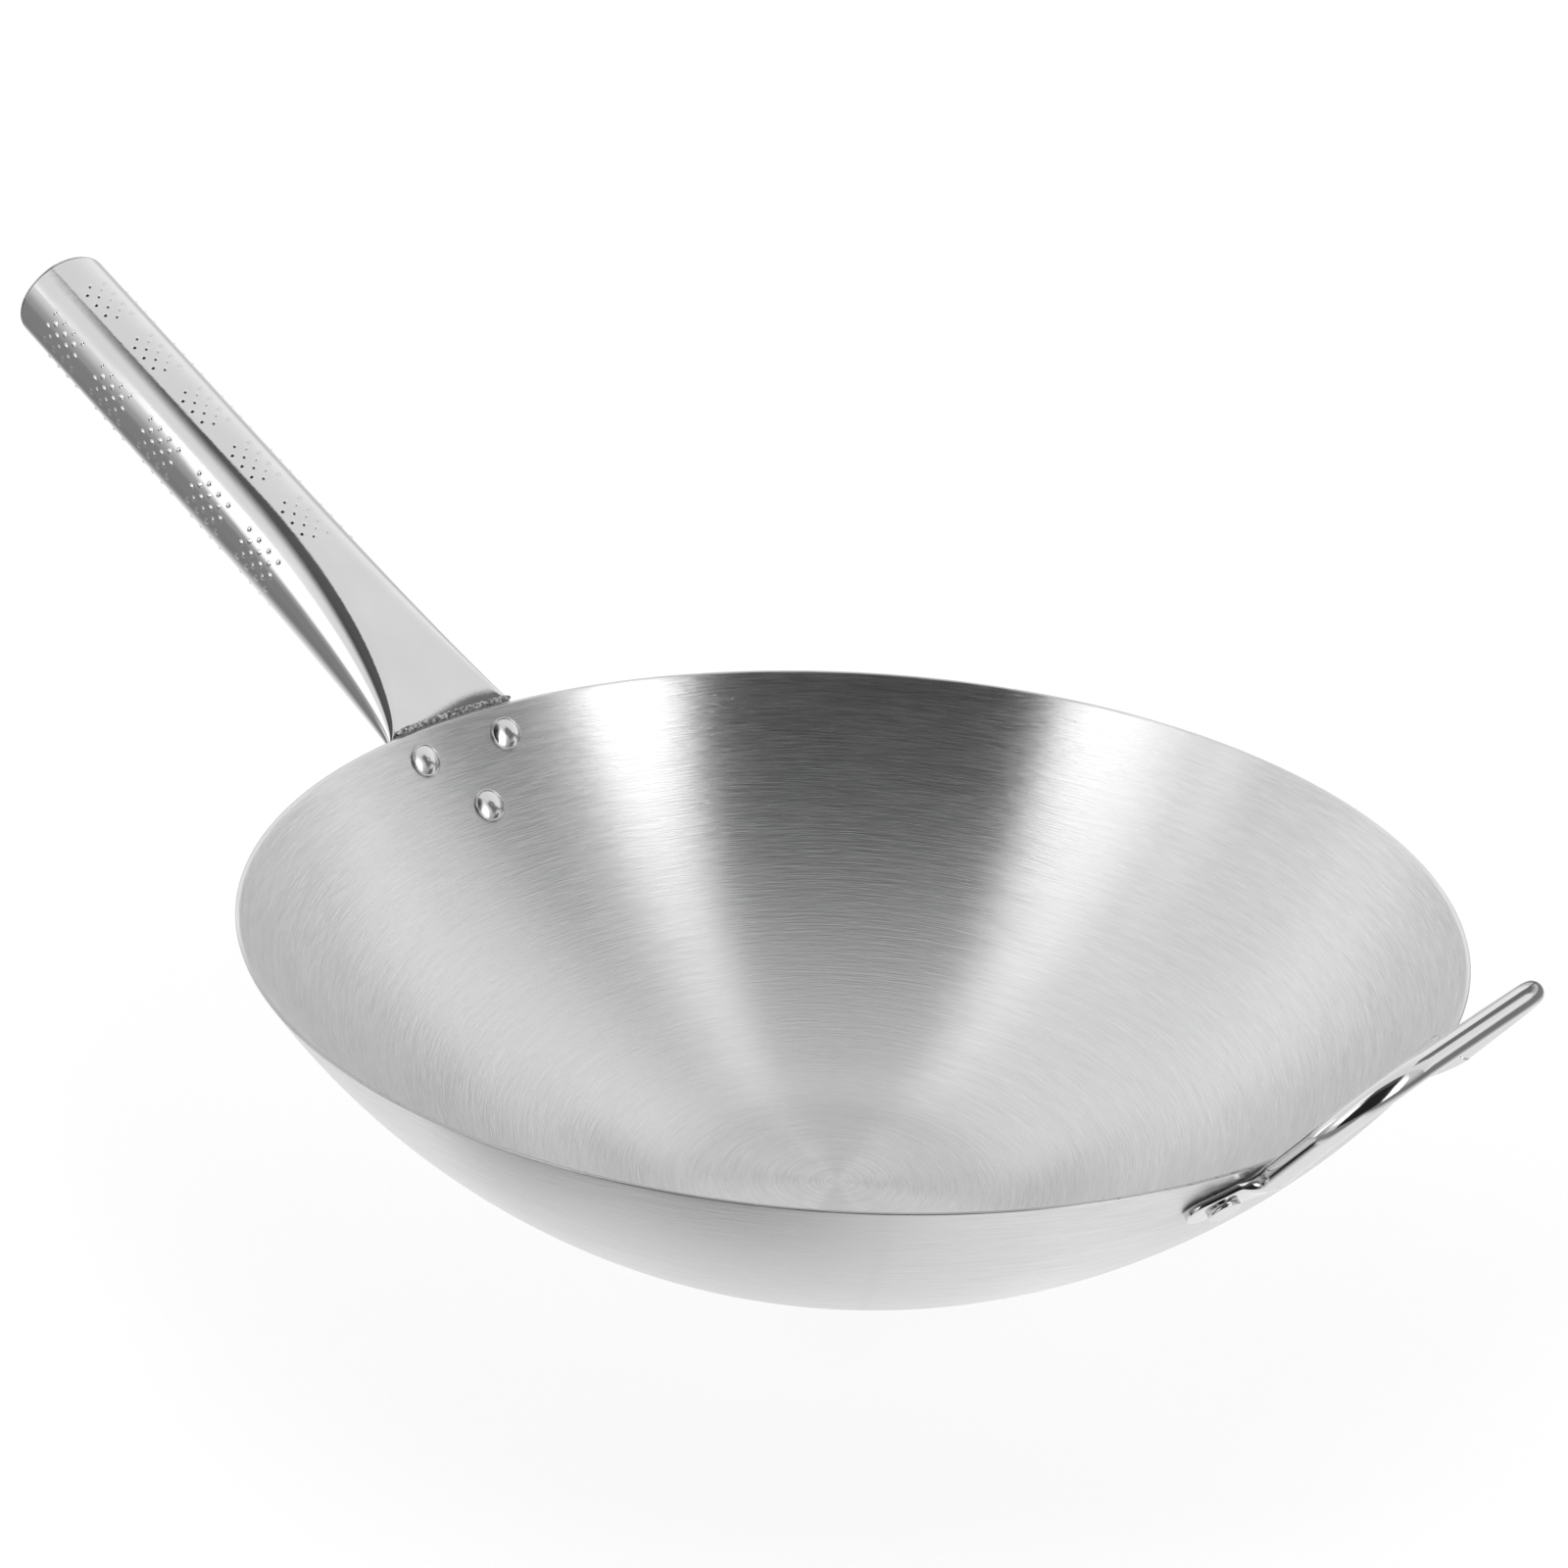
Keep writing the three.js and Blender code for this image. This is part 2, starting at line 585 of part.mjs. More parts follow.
const footRivet = rivetGeometry(FOOT_THICKNESS);
for (const [name, frame] of Object.entries(footRivets)) addPiece(name, footRivet, polishedSteel, frame);

export default wok;
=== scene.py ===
# %% [markdown]
# A stainless steel wok stands on a white table: a spun bowl with a small flat base, a long tube handle
# that is pinched flat where it meets the bowl, and a helper handle bent from rod on the other side. The
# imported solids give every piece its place. This lesson lays a fine surface over each of them, because a
# polished or brushed metal shows every facet, and then gives the metal its finish and its light.

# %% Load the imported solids
from functools import reduce

import bpy
import numpy as np
from mathutils import Matrix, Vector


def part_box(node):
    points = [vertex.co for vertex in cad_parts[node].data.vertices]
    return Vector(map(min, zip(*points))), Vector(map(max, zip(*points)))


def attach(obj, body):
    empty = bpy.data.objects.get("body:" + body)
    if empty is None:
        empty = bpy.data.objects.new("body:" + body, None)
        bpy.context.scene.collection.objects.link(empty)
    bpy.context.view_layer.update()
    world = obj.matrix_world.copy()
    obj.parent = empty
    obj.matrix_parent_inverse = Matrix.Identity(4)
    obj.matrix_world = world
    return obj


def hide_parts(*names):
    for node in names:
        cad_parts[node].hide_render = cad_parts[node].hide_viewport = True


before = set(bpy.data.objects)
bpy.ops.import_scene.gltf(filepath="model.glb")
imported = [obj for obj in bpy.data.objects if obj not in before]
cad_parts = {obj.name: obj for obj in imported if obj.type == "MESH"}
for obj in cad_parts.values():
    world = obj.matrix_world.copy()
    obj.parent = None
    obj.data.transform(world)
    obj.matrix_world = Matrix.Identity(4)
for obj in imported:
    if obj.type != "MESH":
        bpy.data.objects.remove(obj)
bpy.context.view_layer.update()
MM = 0.001

# %% [markdown]
# Every piece of this wok is a skin over a row of rings: circles round the bowl's axis, flattened circles
# along the handle, small circles along a rod. So one helper serves them all. It takes the rings as one
# numpy array, joins each ring to the next with quads, and closes both ends with a fan of triangles to a
# point.

# %% A skin over rings


def skin_faces(rows, columns):
    """Faces over rings of points: quads between neighbouring rings, and a fan at each end.
    The two end points come after the rings' own points, the first ring's before the last ring's."""
    ring = np.arange(rows * columns).reshape(rows, columns)
    after = np.roll(ring, -1, axis=1)
    quads = np.stack([ring[:-1], after[:-1], after[1:], ring[1:]], axis=-1).reshape(-1, 4)
    first = np.stack([np.full(columns, rows * columns), after[0], ring[0]], axis=-1)
    last = np.stack([np.full(columns, rows * columns + 1), ring[-1], after[-1]], axis=-1)
    return quads, np.concatenate([first, last])


def volume(points, quads, fans):
    """Volume inside a closed surface: a sixth of the sum of each triangle's triple product."""
    corners = np.concatenate([quads[:, [0, 1, 2]], quads[:, [0, 2, 3]], fans])
    a, b, c = points[corners[:, 0]], points[corners[:, 1]], points[corners[:, 2]]
    return np.einsum("ij,ij->", a, np.cross(b, c)) / 6


def make_piece(name, points, quads, fans, slot, *nodes):
    """A smooth mesh object from points in millimetres. It rides on the wok and stands for the nodes."""
    mesh = bpy.data.meshes.new(name)
    mesh.from_pydata(points * MM, [], [*quads.tolist(), *fans.tolist()])
    mesh.shade_smooth()
    piece = bpy.data.objects.new(name, mesh)
    bpy.context.scene.collection.objects.link(piece)
    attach(piece, "root")
    if nodes:
        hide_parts(*nodes)
    size = np.round(np.ptp(points, axis=0), 1)
    print(f"{name}: {len(points)} points, {size} mm, {volume(points, quads, fans) / 1000:.2f} cm3")
    return piece


def skin(name, rings, first, last, slot, *nodes):
    """A closed piece over rings, an array of ring by point by xyz, with its two end points."""
    points = np.concatenate([rings.reshape(-1, 3), [first, last]])
    quads, fans = skin_faces(*rings.shape[:2])
    return make_piece(name, points, quads, fans, slot, *nodes)


# %% [markdown]
# The bowl is spun from sheet, so it is round about one axis and its section tells everything: a flat
# base, a tight knuckle arc, and a long wall arc that ends at a rim cut level. The wall arc has to pass
# through the rim and run smoothly into the knuckle, so its centre is where two circles cross, which a
# little algebra gives. A lathe or a spin would turn a drawn section. Here the section is an array, and
# one outer product turns it.

# %% The bowl's sizes
RIM_RADIUS = 160.0
BOWL_HEIGHT = 88.0
BASE_RADIUS = 38.0
KNUCKLE_ARC = 65.0
WALL_ARC = 199.0
SHEET = 1.0

rim = np.array([RIM_RADIUS, BOWL_HEIGHT])
knuckle_centre = np.array([BASE_RADIUS, KNUCKLE_ARC])
span = np.linalg.norm(knuckle_centre - rim)
toward = (knuckle_centre - rim) / span
along = (WALL_ARC**2 - (WALL_ARC - KNUCKLE_ARC) ** 2 + span**2) / (2 * span)
across = np.sqrt(WALL_ARC**2 - along**2)
wall_centre = rim + along * toward + across * np.array([toward[1], -toward[0]])
rim_slope = np.arctan2(RIM_RADIUS - wall_centre[0], wall_centre[1] - BOWL_HEIGHT)
knuckle_slope = np.arctan2(BASE_RADIUS - wall_centre[0], wall_centre[1] - KNUCKLE_ARC)
print("wall centre:", np.round(wall_centre, 2), "rim slope:", np.degrees(rim_slope).round(2))

# %% The bowl's section
RIM_EASE = 0.5
BASE_RINGS = np.linspace(0.02, 0.98, 12)
KNUCKLE_STEPS = 20
WALL_STEPS = 64


def arc(centre, radius, slope):
    """Points on an arc that curves up from below its centre: out by R sin(slope), down by R cos(slope)."""
    return np.stack([centre[0] + radius * np.sin(slope), centre[1] - radius * np.cos(slope)], axis=-1)


def ease(start, corner, end, count=5):
    """A corner rounded by a quadratic curve: (1-t)^2 start + 2t(1-t) corner + t^2 end."""
    t = np.linspace(0, 1, count)[:, None]
    return (1 - t) ** 2 * start + 2 * t * (1 - t) * corner + t**2 * end


def bowl_section():
    """The section from the axis out along the underside, over the rim, and back in to the axis."""
    lip = RIM_EASE / WALL_ARC
    inner_arc = WALL_ARC - SHEET
    inner_slope = np.arccos((wall_centre[1] - BOWL_HEIGHT) / inner_arc)
    inner_rim = arc(wall_centre, inner_arc, inner_slope)
    knuckle = np.linspace(0, knuckle_slope, KNUCKLE_STEPS)
    outside = np.concatenate([
        arc(knuckle_centre, KNUCKLE_ARC, knuckle)[:-1],
        arc(wall_centre, WALL_ARC, np.linspace(knuckle_slope, rim_slope - lip, WALL_STEPS))[:-1]])
    inside = np.concatenate([
        arc(knuckle_centre, KNUCKLE_ARC - SHEET, knuckle)[:-1],
        arc(wall_centre, inner_arc, np.linspace(knuckle_slope, inner_slope - lip, WALL_STEPS))[:-1]])
    level = np.array([RIM_EASE, 0])
    over = np.concatenate([
        ease(arc(wall_centre, WALL_ARC, rim_slope - lip), rim, rim - level),
        ease(inner_rim + level, inner_rim, arc(wall_centre, inner_arc, inner_slope - lip))])
    middle = BASE_RINGS[:, None] * np.array([BASE_RADIUS, 0])
    return np.concatenate([middle, outside, over, inside[::-1], middle[::-1] + [0, SHEET]])


def turn_section(section, sides):
    """Rings about the Z axis: (r cos, r sin, z) for each section point (r, z) and each of the sides."""
    angle = np.arange(sides) * 2 * np.pi / sides
    circle = np.stack([np.cos(angle), np.sin(angle)], axis=-1)
    flat = section[:, None, :1] * circle
    height = np.broadcast_to(section[:, None, 1:], (len(section), sides, 1))
    return np.concatenate([flat, height], axis=-1)


# %% The bowl
BOWL_SIDES = 288
bowl_rings = turn_section(bowl_section(), BOWL_SIDES)
bowl = skin("spun_bowl", bowl_rings, [0, 0, 0], [0, 0, SHEET], "bowl_steel", "wok_bowl")

# %% [markdown]
# The long handle starts as one round tube. Towards the bowl it is pressed flat, which doesn't stretch the
# metal: its perimeter stays the same, so as it gets thinner it gets wider, from 32 mm round to a strap 49
# mm wide. The strap bends down and lies on the outside of the bowl as a tang. Each station along that
# route gets a place, a slope and a pressed height, and all the stations' rings are worked out together.

# %% The handle's route
SEAT_GAP = 0.35
HANDLE_LENGTH = 208.6
HANDLE_RISE = np.radians(25.5)
HANDLE_DROP = 3.0
TANG_THICKNESS = 2.2
TANG_BEND = 6.0
CAP_FLANGE = 0.7

tang_offset = SEAT_GAP + TANG_THICKNESS / 2
axis_start = np.array([RIM_RADIUS, BOWL_HEIGHT - HANDLE_DROP])
axis_along = np.array([np.cos(HANDLE_RISE), np.sin(HANDLE_RISE)])
axis_below = np.array([axis_along[1], -axis_along[0]])

bend_reach = axis_start + TANG_BEND * axis_below - wall_centre
half = bend_reach @ axis_along
bend_along = -half + np.sqrt(half**2 - bend_reach @ bend_reach + (WALL_ARC + tang_offset + TANG_BEND) ** 2)
bend_centre = axis_start + bend_along * axis_along + TANG_BEND * axis_below
bend_slope = np.arctan2(bend_centre[0] - wall_centre[0], wall_centre[1] - bend_centre[1])
pinch_start = axis_start + bend_along * axis_along
tube_length = HANDLE_LENGTH - CAP_FLANGE - SEAT_GAP - bend_along
print(f"the tang leaves the wall {bend_along:.1f} mm out, and the tube runs {tube_length:.1f} mm from there")

# %% The pressed tube
TUBE_DIAMETER = 32.0
PINCH_LENGTH = 100.0
PINCH_POWER = 0.7
FOLD_STEPS = 32
FOLD_CROWDING = 1.6
skin_length = np.pi * TUBE_DIAMETER


def pinch_height(distance):
    """Pressed height at a distance from the bend: a quarter sine wave over a power of the distance."""
    share = np.minimum(distance / PINCH_LENGTH, 1) ** PINCH_POWER
    return TANG_THICKNESS + (TUBE_DIAMETER - TANG_THICKNESS) * np.sin(share * np.pi / 2)


def pinch_wrap(distance):
    """How strongly the pinched tube is wrapped round the bowl's axis, fading smoothly to none."""
    share = np.minimum(distance / PINCH_LENGTH, 1)
    return (1 - share**2 * (3 - 2 * share)) / pinch_start[0]


def pressed(share, height, length, lift=0):
    """A tube's skin pressed to a height: two flats joined by half-round folds, with no stretch.
    The share runs from 0 at a fold to 1 at the middle of a flat. Gives how far sideways and how far up a
    point is that stands the lift above the skin."""
    travel = share * length / 4
    fold = np.pi * height / 4
    flat = length / 4 - fold
    turn = np.minimum(travel, fold) / (height / 2)
    reach = height / 2 + lift
    sideways = np.where(travel > fold, flat + fold - travel, flat + np.cos(turn) * reach)
    return sideways, np.sin(turn) * reach


def laid(place, slope, sides, ups, wrap):
    """Points of the section in their place: wrapped sideways round the bowl's axis by turn = sideways x wrap,
    and tilted to the slope."""
    turn = sides * wrap
    back = sides * np.sin(turn / 2) * np.sinc(turn / (2 * np.pi))
    lean = -np.sin(slope) * ups
    return np.stack([place[..., 0] - back + lean * np.cos(turn),
                     sides * np.sinc(turn / np.pi) + lean * np.sin(turn),
                     place[..., 1] + np.cos(slope) * ups], axis=-1)


def handle_rings(place, slope, height, trim, wrap, wall):
    """Rings of the handle's skin. Each ring is the pressed tube, trimmed in width and laid at its station.
    Its points crowd towards the folds, by a power of their share of a quarter."""
    share = np.linspace(0, 1, FOLD_STEPS + 1)[None, :] ** FOLD_CROWDING
    side, up = pressed(share, (height - 2 * wall)[:, None], skin_length - 2 * np.pi * wall)
    sides = np.concatenate([side[:, :-1], -side[:, :0:-1], -side[:, :-1], side[:, :0:-1]], axis=1)
    ups = np.concatenate([up[:, :-1], up[:, :0:-1], -up[:, :-1], -up[:, :0:-1]], axis=1)
    return laid(place[:, None], slope[:, None], sides * trim[:, None], ups, wrap[:, None])


tang_half_width = pressed(np.zeros(1), TANG_THICKNESS, skin_length)[0][0]
print(f"the strap is {2 * tang_half_width:.1f} mm wide")

# %% The handle's stations
TANG_LENGTH = 38.0
TANG_TIP_WIDTH = 20.0
TANG_ROUNDING = 24.0
MOUTH_EDGE = 0.15
TANG_STEPS = 59
TANG_CROWDING = 1.5
BEND_STEPS = 19
PINCH_STEPS = 120
PINCH_CROWDING = 1.5
BARREL_STEPS = 39


def tongue(distance):
    """Share of the tang's width at a distance from its tip: a quarter ellipse up to the full width."""
    tip = TANG_TIP_WIDTH / (2 * tang_half_width)
    left = 1 - np.minimum(distance / TANG_ROUNDING, 1)
    return tip + (1 - tip) * np.sqrt(1 - left**2)


def handle_stations():
    """Places, slopes, heights, trims and wraps along the tang, round its bend and out along the tube. The
    stations crowd towards the tang's tip and towards the start of the pinch."""
    bend_drop = (rim_slope - bend_slope) * WALL_ARC
    climb = np.linspace(0, 1, TANG_STEPS, endpoint=False) ** TANG_CROWDING
    drop = TANG_LENGTH + (bend_drop - TANG_LENGTH) * climb
    tang_slope = rim_slope - drop / WALL_ARC
    tang = arc(wall_centre, WALL_ARC + tang_offset, tang_slope)
    turn = np.linspace(bend_slope, HANDLE_RISE, BEND_STEPS, endpoint=False)
    bend = bend_centre + TANG_BEND * np.stack([-np.sin(turn), np.cos(turn)], axis=-1)
    barrel = np.linspace(PINCH_LENGTH, tube_length - MOUTH_EDGE, BARREL_STEPS + 1)[1:]
    pinch = PINCH_LENGTH * np.linspace(0, 1, PINCH_STEPS) ** PINCH_CROWDING
    distance = np.concatenate([pinch, barrel, [tube_length]])
    tube = pinch_start + distance[:, None] * axis_along
    place = np.concatenate([tang, bend, tube])
    slope = np.concatenate([tang_slope, turn, np.full(len(tube), HANDLE_RISE)])
    heights = np.concatenate([np.full(len(tang) + len(bend), TANG_THICKNESS), pinch_height(distance)])
    trim = np.concatenate([tongue(TANG_LENGTH - drop), np.ones(len(bend) + len(tube))])
    wrap = np.concatenate([1 / tang[:, 0], 1 / bend[:, 0], pinch_wrap(distance)])
    return place, slope, heights, trim, wrap


# %% The handle
TUBE_WALL = 0.8
BORE_ROOM = 8 * TUBE_WALL
stations = handle_stations()
heights = stations[2]
roomy = heights > BORE_ROOM
outside = handle_rings(*stations, 0)
bore = handle_rings(*[values[roomy][::-1] for values in stations], TUBE_WALL)
handle = skin("tube_handle", np.concatenate([outside, bore]), outside[0].mean(0), bore[-1].mean(0),
              "handle_steel", "main_handle")

# %% [markdown]
# Raised dots give the hand a grip. They are pressed in clusters of rows, four dots and three dots in
# turn, and the clusters stand in columns along the tube. A bump texture would do for one view, but real
# domes also catch the light at the edge of the tube. Each dome is a cosine hill, so its foot runs flat
# into the tube, and all of them are placed by their distance from the far end and their angle round the
# tube. Two columns show in the photograph. The others repeat them round the back.

# %% Where the dots stand
DOTS_IN_ROW = 4
CLUSTERS = 5
ROW_PITCH = 5.15
ROW_START = 14.4
CLUSTER_PITCH = 26.7
ROW_ANGLES = np.radians([-19.2, -9.6, 0, 9.6, 19.2])
COLUMN_ANGLES = np.radians([81.2, 11.6, 150.8, 220.4, 290.0])
TOP_COLUMN = 1
TOP_ROWS = 4


def dot_places():
    """Distance from the far end and angle round the tube of every dot: clusters of rows, where the odd rows
    are full and the even rows have one dot less, half a pitch further on. The top column has fewer rows."""
    counts = len(COLUMN_ANGLES), CLUSTERS, len(ROW_ANGLES), DOTS_IN_ROW
    column, cluster, row, step = np.indices(counts)
    short = row % 2
    kept = (step < DOTS_IN_ROW - short) & ((column != TOP_COLUMN) | (row < TOP_ROWS))
    distance = ROW_START + ROW_PITCH * (step + short / 2) + CLUSTER_PITCH * cluster
    turn = ROW_ANGLES[row] + COLUMN_ANGLES[column]
    return distance[kept], turn[kept]


far, around = dot_places()
print("dots:", len(far))

# %% One dot
DOT_RADIUS = 1.05
DOT_HEIGHT = 0.26
DOT_SINK = 0.12
DOT_RINGS = np.array([1.0, 1.0, 0.85, 0.66, 0.46, 0.24])


def dome_rings():
    """One dot, as rings of distance from its middle and height over the tube: a cosine hill whose outermost
    ring is sunk."""
    out = DOT_RINGS * DOT_RADIUS
    hill = DOT_HEIGHT * (1 + np.cos(np.pi * out / DOT_RADIUS)) / 2
    return out, np.where(np.arange(len(out)) == 0, -DOT_SINK, hill)


def on_skin(distance, turn, lift):
    """Points that stand the lift above the tube's skin, at a distance from the bend and an angle round the
    tube from its top. The angle gives the share round a quarter of the skin, and the signs of its sine and
    cosine give the side."""
    share = np.abs(turn / (np.pi / 2) % 2 - 1)
    side, up = pressed(share, pinch_height(distance), skin_length, lift)
    side = side * np.sign(np.sin(turn))
    up = up * np.sign(np.cos(turn))
    place = pinch_start + distance[..., None] * axis_along
    return laid(place, HANDLE_RISE, side, up, pinch_wrap(distance))


# %% The grip dots
DOT_SIDES = 12
out, rise = dome_rings()
spin = np.arange(DOT_SIDES) * 2 * np.pi / DOT_SIDES
dot_along = np.append(np.outer(out, np.cos(spin)), [0, 0])
dot_aside = np.append(np.outer(out, np.sin(spin)), [0, 0])
dot_lift = np.append(np.repeat(rise, DOT_SIDES), [-DOT_SINK, DOT_HEIGHT])
distance = HANDLE_LENGTH - bend_along - far[:, None] + dot_along
dots = on_skin(distance, around[:, None] + dot_aside / (TUBE_DIAMETER / 2), dot_lift)
quads, fans = skin_faces(len(out), DOT_SIDES)
shift = (np.arange(len(far)) * dots.shape[1])[:, None, None]
grip_dots = make_piece("grip_dots", dots.reshape(-1, 3), (quads + shift).reshape(-1, 4),
                       (fans + shift).reshape(-1, 3), "handle_steel")

# %% [markdown]
# A pressed plug closes the far end of the tube. It shows as a thin ring at the end of the grip, a flange
# with a rounded edge, and from behind as a shallow dome. It is turned like the bowl, and then laid along
# the tube.

# %% The end cap
CAP_DOME = 0.6
CAP_SPIGOT = 7.0
CAP_SHEET = 0.6
CAP_INSET = 0.08
CAP_EASE = 0.1
CAP_MIDDLE = 0.3
CAP_RINGS = np.linspace(1, 0.02, 24)
CAP_SIDES = 96


def cap_section():
    """Section from the axis inside the cup, down its spigot, up the flange's side with two eased corners and
    over the dome."""
    radius = TUBE_DIAMETER / 2 - CAP_INSET
    spigot = radius - TUBE_WALL - SEAT_GAP
    edge = CAP_FLANGE / 2
    foot = np.array([radius, 0])
    brow = np.array([radius, CAP_FLANGE])
    flange = np.concatenate([ease(foot - [CAP_EASE, 0], foot, foot + [0, CAP_EASE]),
                             ease(brow - [0, edge], brow, brow - [edge, 0])])
    dome = np.stack([(radius - edge) * CAP_RINGS, CAP_FLANGE + CAP_DOME * (1 - CAP_RINGS**2)], axis=-1)
    cup = [[CAP_MIDDLE, CAP_FLANGE - CAP_SHEET], [spigot - CAP_SHEET, CAP_FLANGE - CAP_SHEET],
           [spigot - CAP_SHEET, -CAP_SPIGOT], [spigot, -CAP_SPIGOT], [spigot, 0]]
    return np.concatenate([cup, flange, dome[1:]])


tube_up = np.array([-axis_along[1], 0, axis_along[0]])
tube_out = np.array([axis_along[0], 0, axis_along[1]])
cap_axes = np.stack([-tube_up, np.array([0, 1, 0]), tube_out])
cap_place = np.array([axis_start[0], 0, axis_start[1]]) + (HANDLE_LENGTH - CAP_FLANGE) * tube_out
cup_floor = cap_place + (CAP_FLANGE - CAP_SHEET) * tube_out
dome_top = cap_place + (CAP_FLANGE + CAP_DOME) * tube_out
cap_rings = turn_section(cap_section(), CAP_SIDES) @ cap_axes + cap_place
end_cap = skin("tube_end_cap", cap_rings, cup_floor, dome_top, "handle_steel", "handle_end_cap")

# %% [markdown]
# A run of weld fills the notch between the rim and the top of the strap. On the real pan it is ragged:
# the welder's puddles left ripples of uneven size. It is a thin rod bent along the rim, whose radius
# wanders by a sum of sine waves with fixed phases, so that every run of this lesson gives the same bead.

# %% The weld bead
WELD_RADIUS = 1.1
WELD_LENGTH = 44.0
WELD_OVERLAP = 0.9
WELD_STEPS = 240
WELD_SIDES = 20
WELD_FULLNESS = 0.8
PUDDLES = [(0.112, 0.42, 0.1), (0.084, 0.71, 0.55), (0.07, 1.13, 0.3), (0.042, 2.1, 0.8)]
GRAINS = [(0.07, 1.7, 0.2), (0.05, 2.9, 0.6)]
GRAIN_SWIRL = 0.9
END_LUMPS = [(0.3, -19.0, 2.2), (0.25, 18.5, 2.5)]
END_TAPER = 0.97
END_POWER = 10


def wander(x, waves):
    """Sum of sine waves over x, each given as (size, waves per unit, phase)."""
    size, pace, phase = np.array(waves).T
    return (size * np.sin(2 * np.pi * (x[..., None] * pace + phase))).sum(-1)


def lumps(x, hills):
    """Sum of bell curves over x, each given as (size, place, width): size x exp(-((x - place) / width)^2)."""
    size, place, width = np.array(hills).T
    return (size * np.exp(-(((x[..., None] - place) / width) ** 2))).sum(-1)


low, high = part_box("handle_weld_bead")
weld_centre = np.array([high.x / MM - WELD_RADIUS - WELD_OVERLAP, (low.z + high.z) / 2 / MM])
share = np.linspace(1, -1, WELD_STEPS)
length = share * WELD_LENGTH / 2
fullness = WELD_FULLNESS + lumps(length, END_LUMPS) + wander(length, PUDDLES)
radius = WELD_RADIUS * fullness * np.sqrt(1 - END_TAPER * share**END_POWER)
spin = np.arange(WELD_SIDES) * 2 * np.pi / WELD_SIDES
grain = 1 + wander(length[:, None] + GRAIN_SWIRL * np.cos(spin), GRAINS)
bead_radius = np.minimum(radius[:, None] * grain, WELD_RADIUS)
azimuth = (length / weld_centre[0])[:, None]
reach = weld_centre[0] + bead_radius * np.cos(spin)
weld_rings = np.stack([reach * np.cos(azimuth), reach * np.sin(azimuth),
                       weld_centre[1] + bead_radius * np.sin(spin)], axis=-1)
weld = skin("weld_bead", weld_rings, weld_rings[0].mean(0), weld_rings[-1].mean(0),
            "weld_steel", "handle_weld_bead")

# %% [markdown]
# Five rivets hold the handles. Each has a low dome with a thin flange inside the bowl, a shank through
# both sheets, and a flat head outside. One section serves all of them. It is turned about the rivet's own
# axis and then set square to the wall at its place, which is an azimuth round the bowl and a distance
# below the rim.

# %% A rivet's section
RIVET_HEAD_RADIUS = 5.0
RIVET_HEAD_HEIGHT = 1.3
RIVET_FLANGE = 0.5
RIVET_LIP = 0.6
RIVET_CREASE = 0.22
RIVET_DIMPLE = 0.04
DIMPLE_SHARE = 0.13
RIVET_SHANK_RADIUS = 2.5
RIVET_TAIL_RADIUS = 4.1
RIVET_TAIL_HEIGHT = 1.2
RIVET_TAIL_BEVEL = 0.4
TAIL_MIDDLE = 0.1
BRIM_STEPS = 12
DOME_RINGS = np.linspace(1, 0.03, 28)


def rivet_section(plate):
    """Section of a rivet from its flat tail up to its head, where 0 is the bowl's inner skin. The head is a
    rolled bead, a crease, and a dome of height x (1 - r^2) with a small round dimple in its middle."""
    tail_top = -(SHEET + SEAT_GAP + plate + SEAT_GAP)
    tail = np.array([RIVET_TAIL_RADIUS, tail_top - RIVET_TAIL_HEIGHT])
    bevel = np.array([RIVET_TAIL_BEVEL, 0])
    tail_edge = ease(tail - bevel, tail, tail + bevel[::-1])
    flange = np.array([RIVET_HEAD_RADIUS, SEAT_GAP + RIVET_FLANGE])
    roll = np.linspace(0, np.pi, BRIM_STEPS)
    bead = flange - [RIVET_LIP / 2, RIVET_LIP / 2]
    brim = bead + RIVET_LIP / 2 * np.stack([np.cos(roll), np.sin(roll)], axis=-1)
    crease = flange[1] - RIVET_CREASE
    rise = SEAT_GAP + RIVET_HEAD_HEIGHT - crease
    dimple = RIVET_DIMPLE * np.exp(-((DOME_RINGS / DIMPLE_SHARE) ** 2))
    dome = np.stack([(RIVET_HEAD_RADIUS - RIVET_LIP) * DOME_RINGS,
                     crease + rise * (1 - DOME_RINGS**2) - dimple], axis=-1)
    middle = np.array([[TAIL_MIDDLE, tail[1]], [RIVET_TAIL_RADIUS / 2, tail[1]]])
    shank = np.array([[RIVET_TAIL_RADIUS, tail_top], [RIVET_SHANK_RADIUS, tail_top],
                      [RIVET_SHANK_RADIUS, SEAT_GAP], [RIVET_HEAD_RADIUS, SEAT_GAP]])
    return np.concatenate([middle, tail_edge, shank, brim, dome])


# %% The long handle's rivets
TANG_RIVET_UPPER_DROP = 9.3
TANG_RIVET_LOWER_DROP = 28.4
TANG_RIVET_EDGE = 8.9
RIVET_SIDES = 64


def wall_frame(azimuth, drop):
    """Axes and place on the bowl's inner skin: up the wall, sideways, and square into the bowl."""
    slope = rim_slope - drop / WALL_ARC
    out, height = arc(wall_centre, WALL_ARC - SHEET, slope)
    radial = np.array([np.cos(azimuth), np.sin(azimuth), 0])
    upright = np.array([0, 0, 1])
    upwards = np.cos(slope) * radial + np.sin(slope) * upright
    inwards = -np.sin(slope) * radial + np.cos(slope) * upright
    return np.stack([upwards, np.cross(inwards, upwards), inwards]), out * radial + height * upright


def set_rivet(name, node, azimuth, drop, plate):
    """A rivet turned about its axis, then turned and moved to its place on the wall."""
    axes, place = wall_frame(azimuth, drop)
    section = rivet_section(plate)
    rings = turn_section(section, RIVET_SIDES) @ axes + place
    ends = np.array([[0, 0, section[0, 1]], [0, 0, section[-1, 1]]]) @ axes + place
    return skin(name, rings, *ends, "rivet_steel", node)


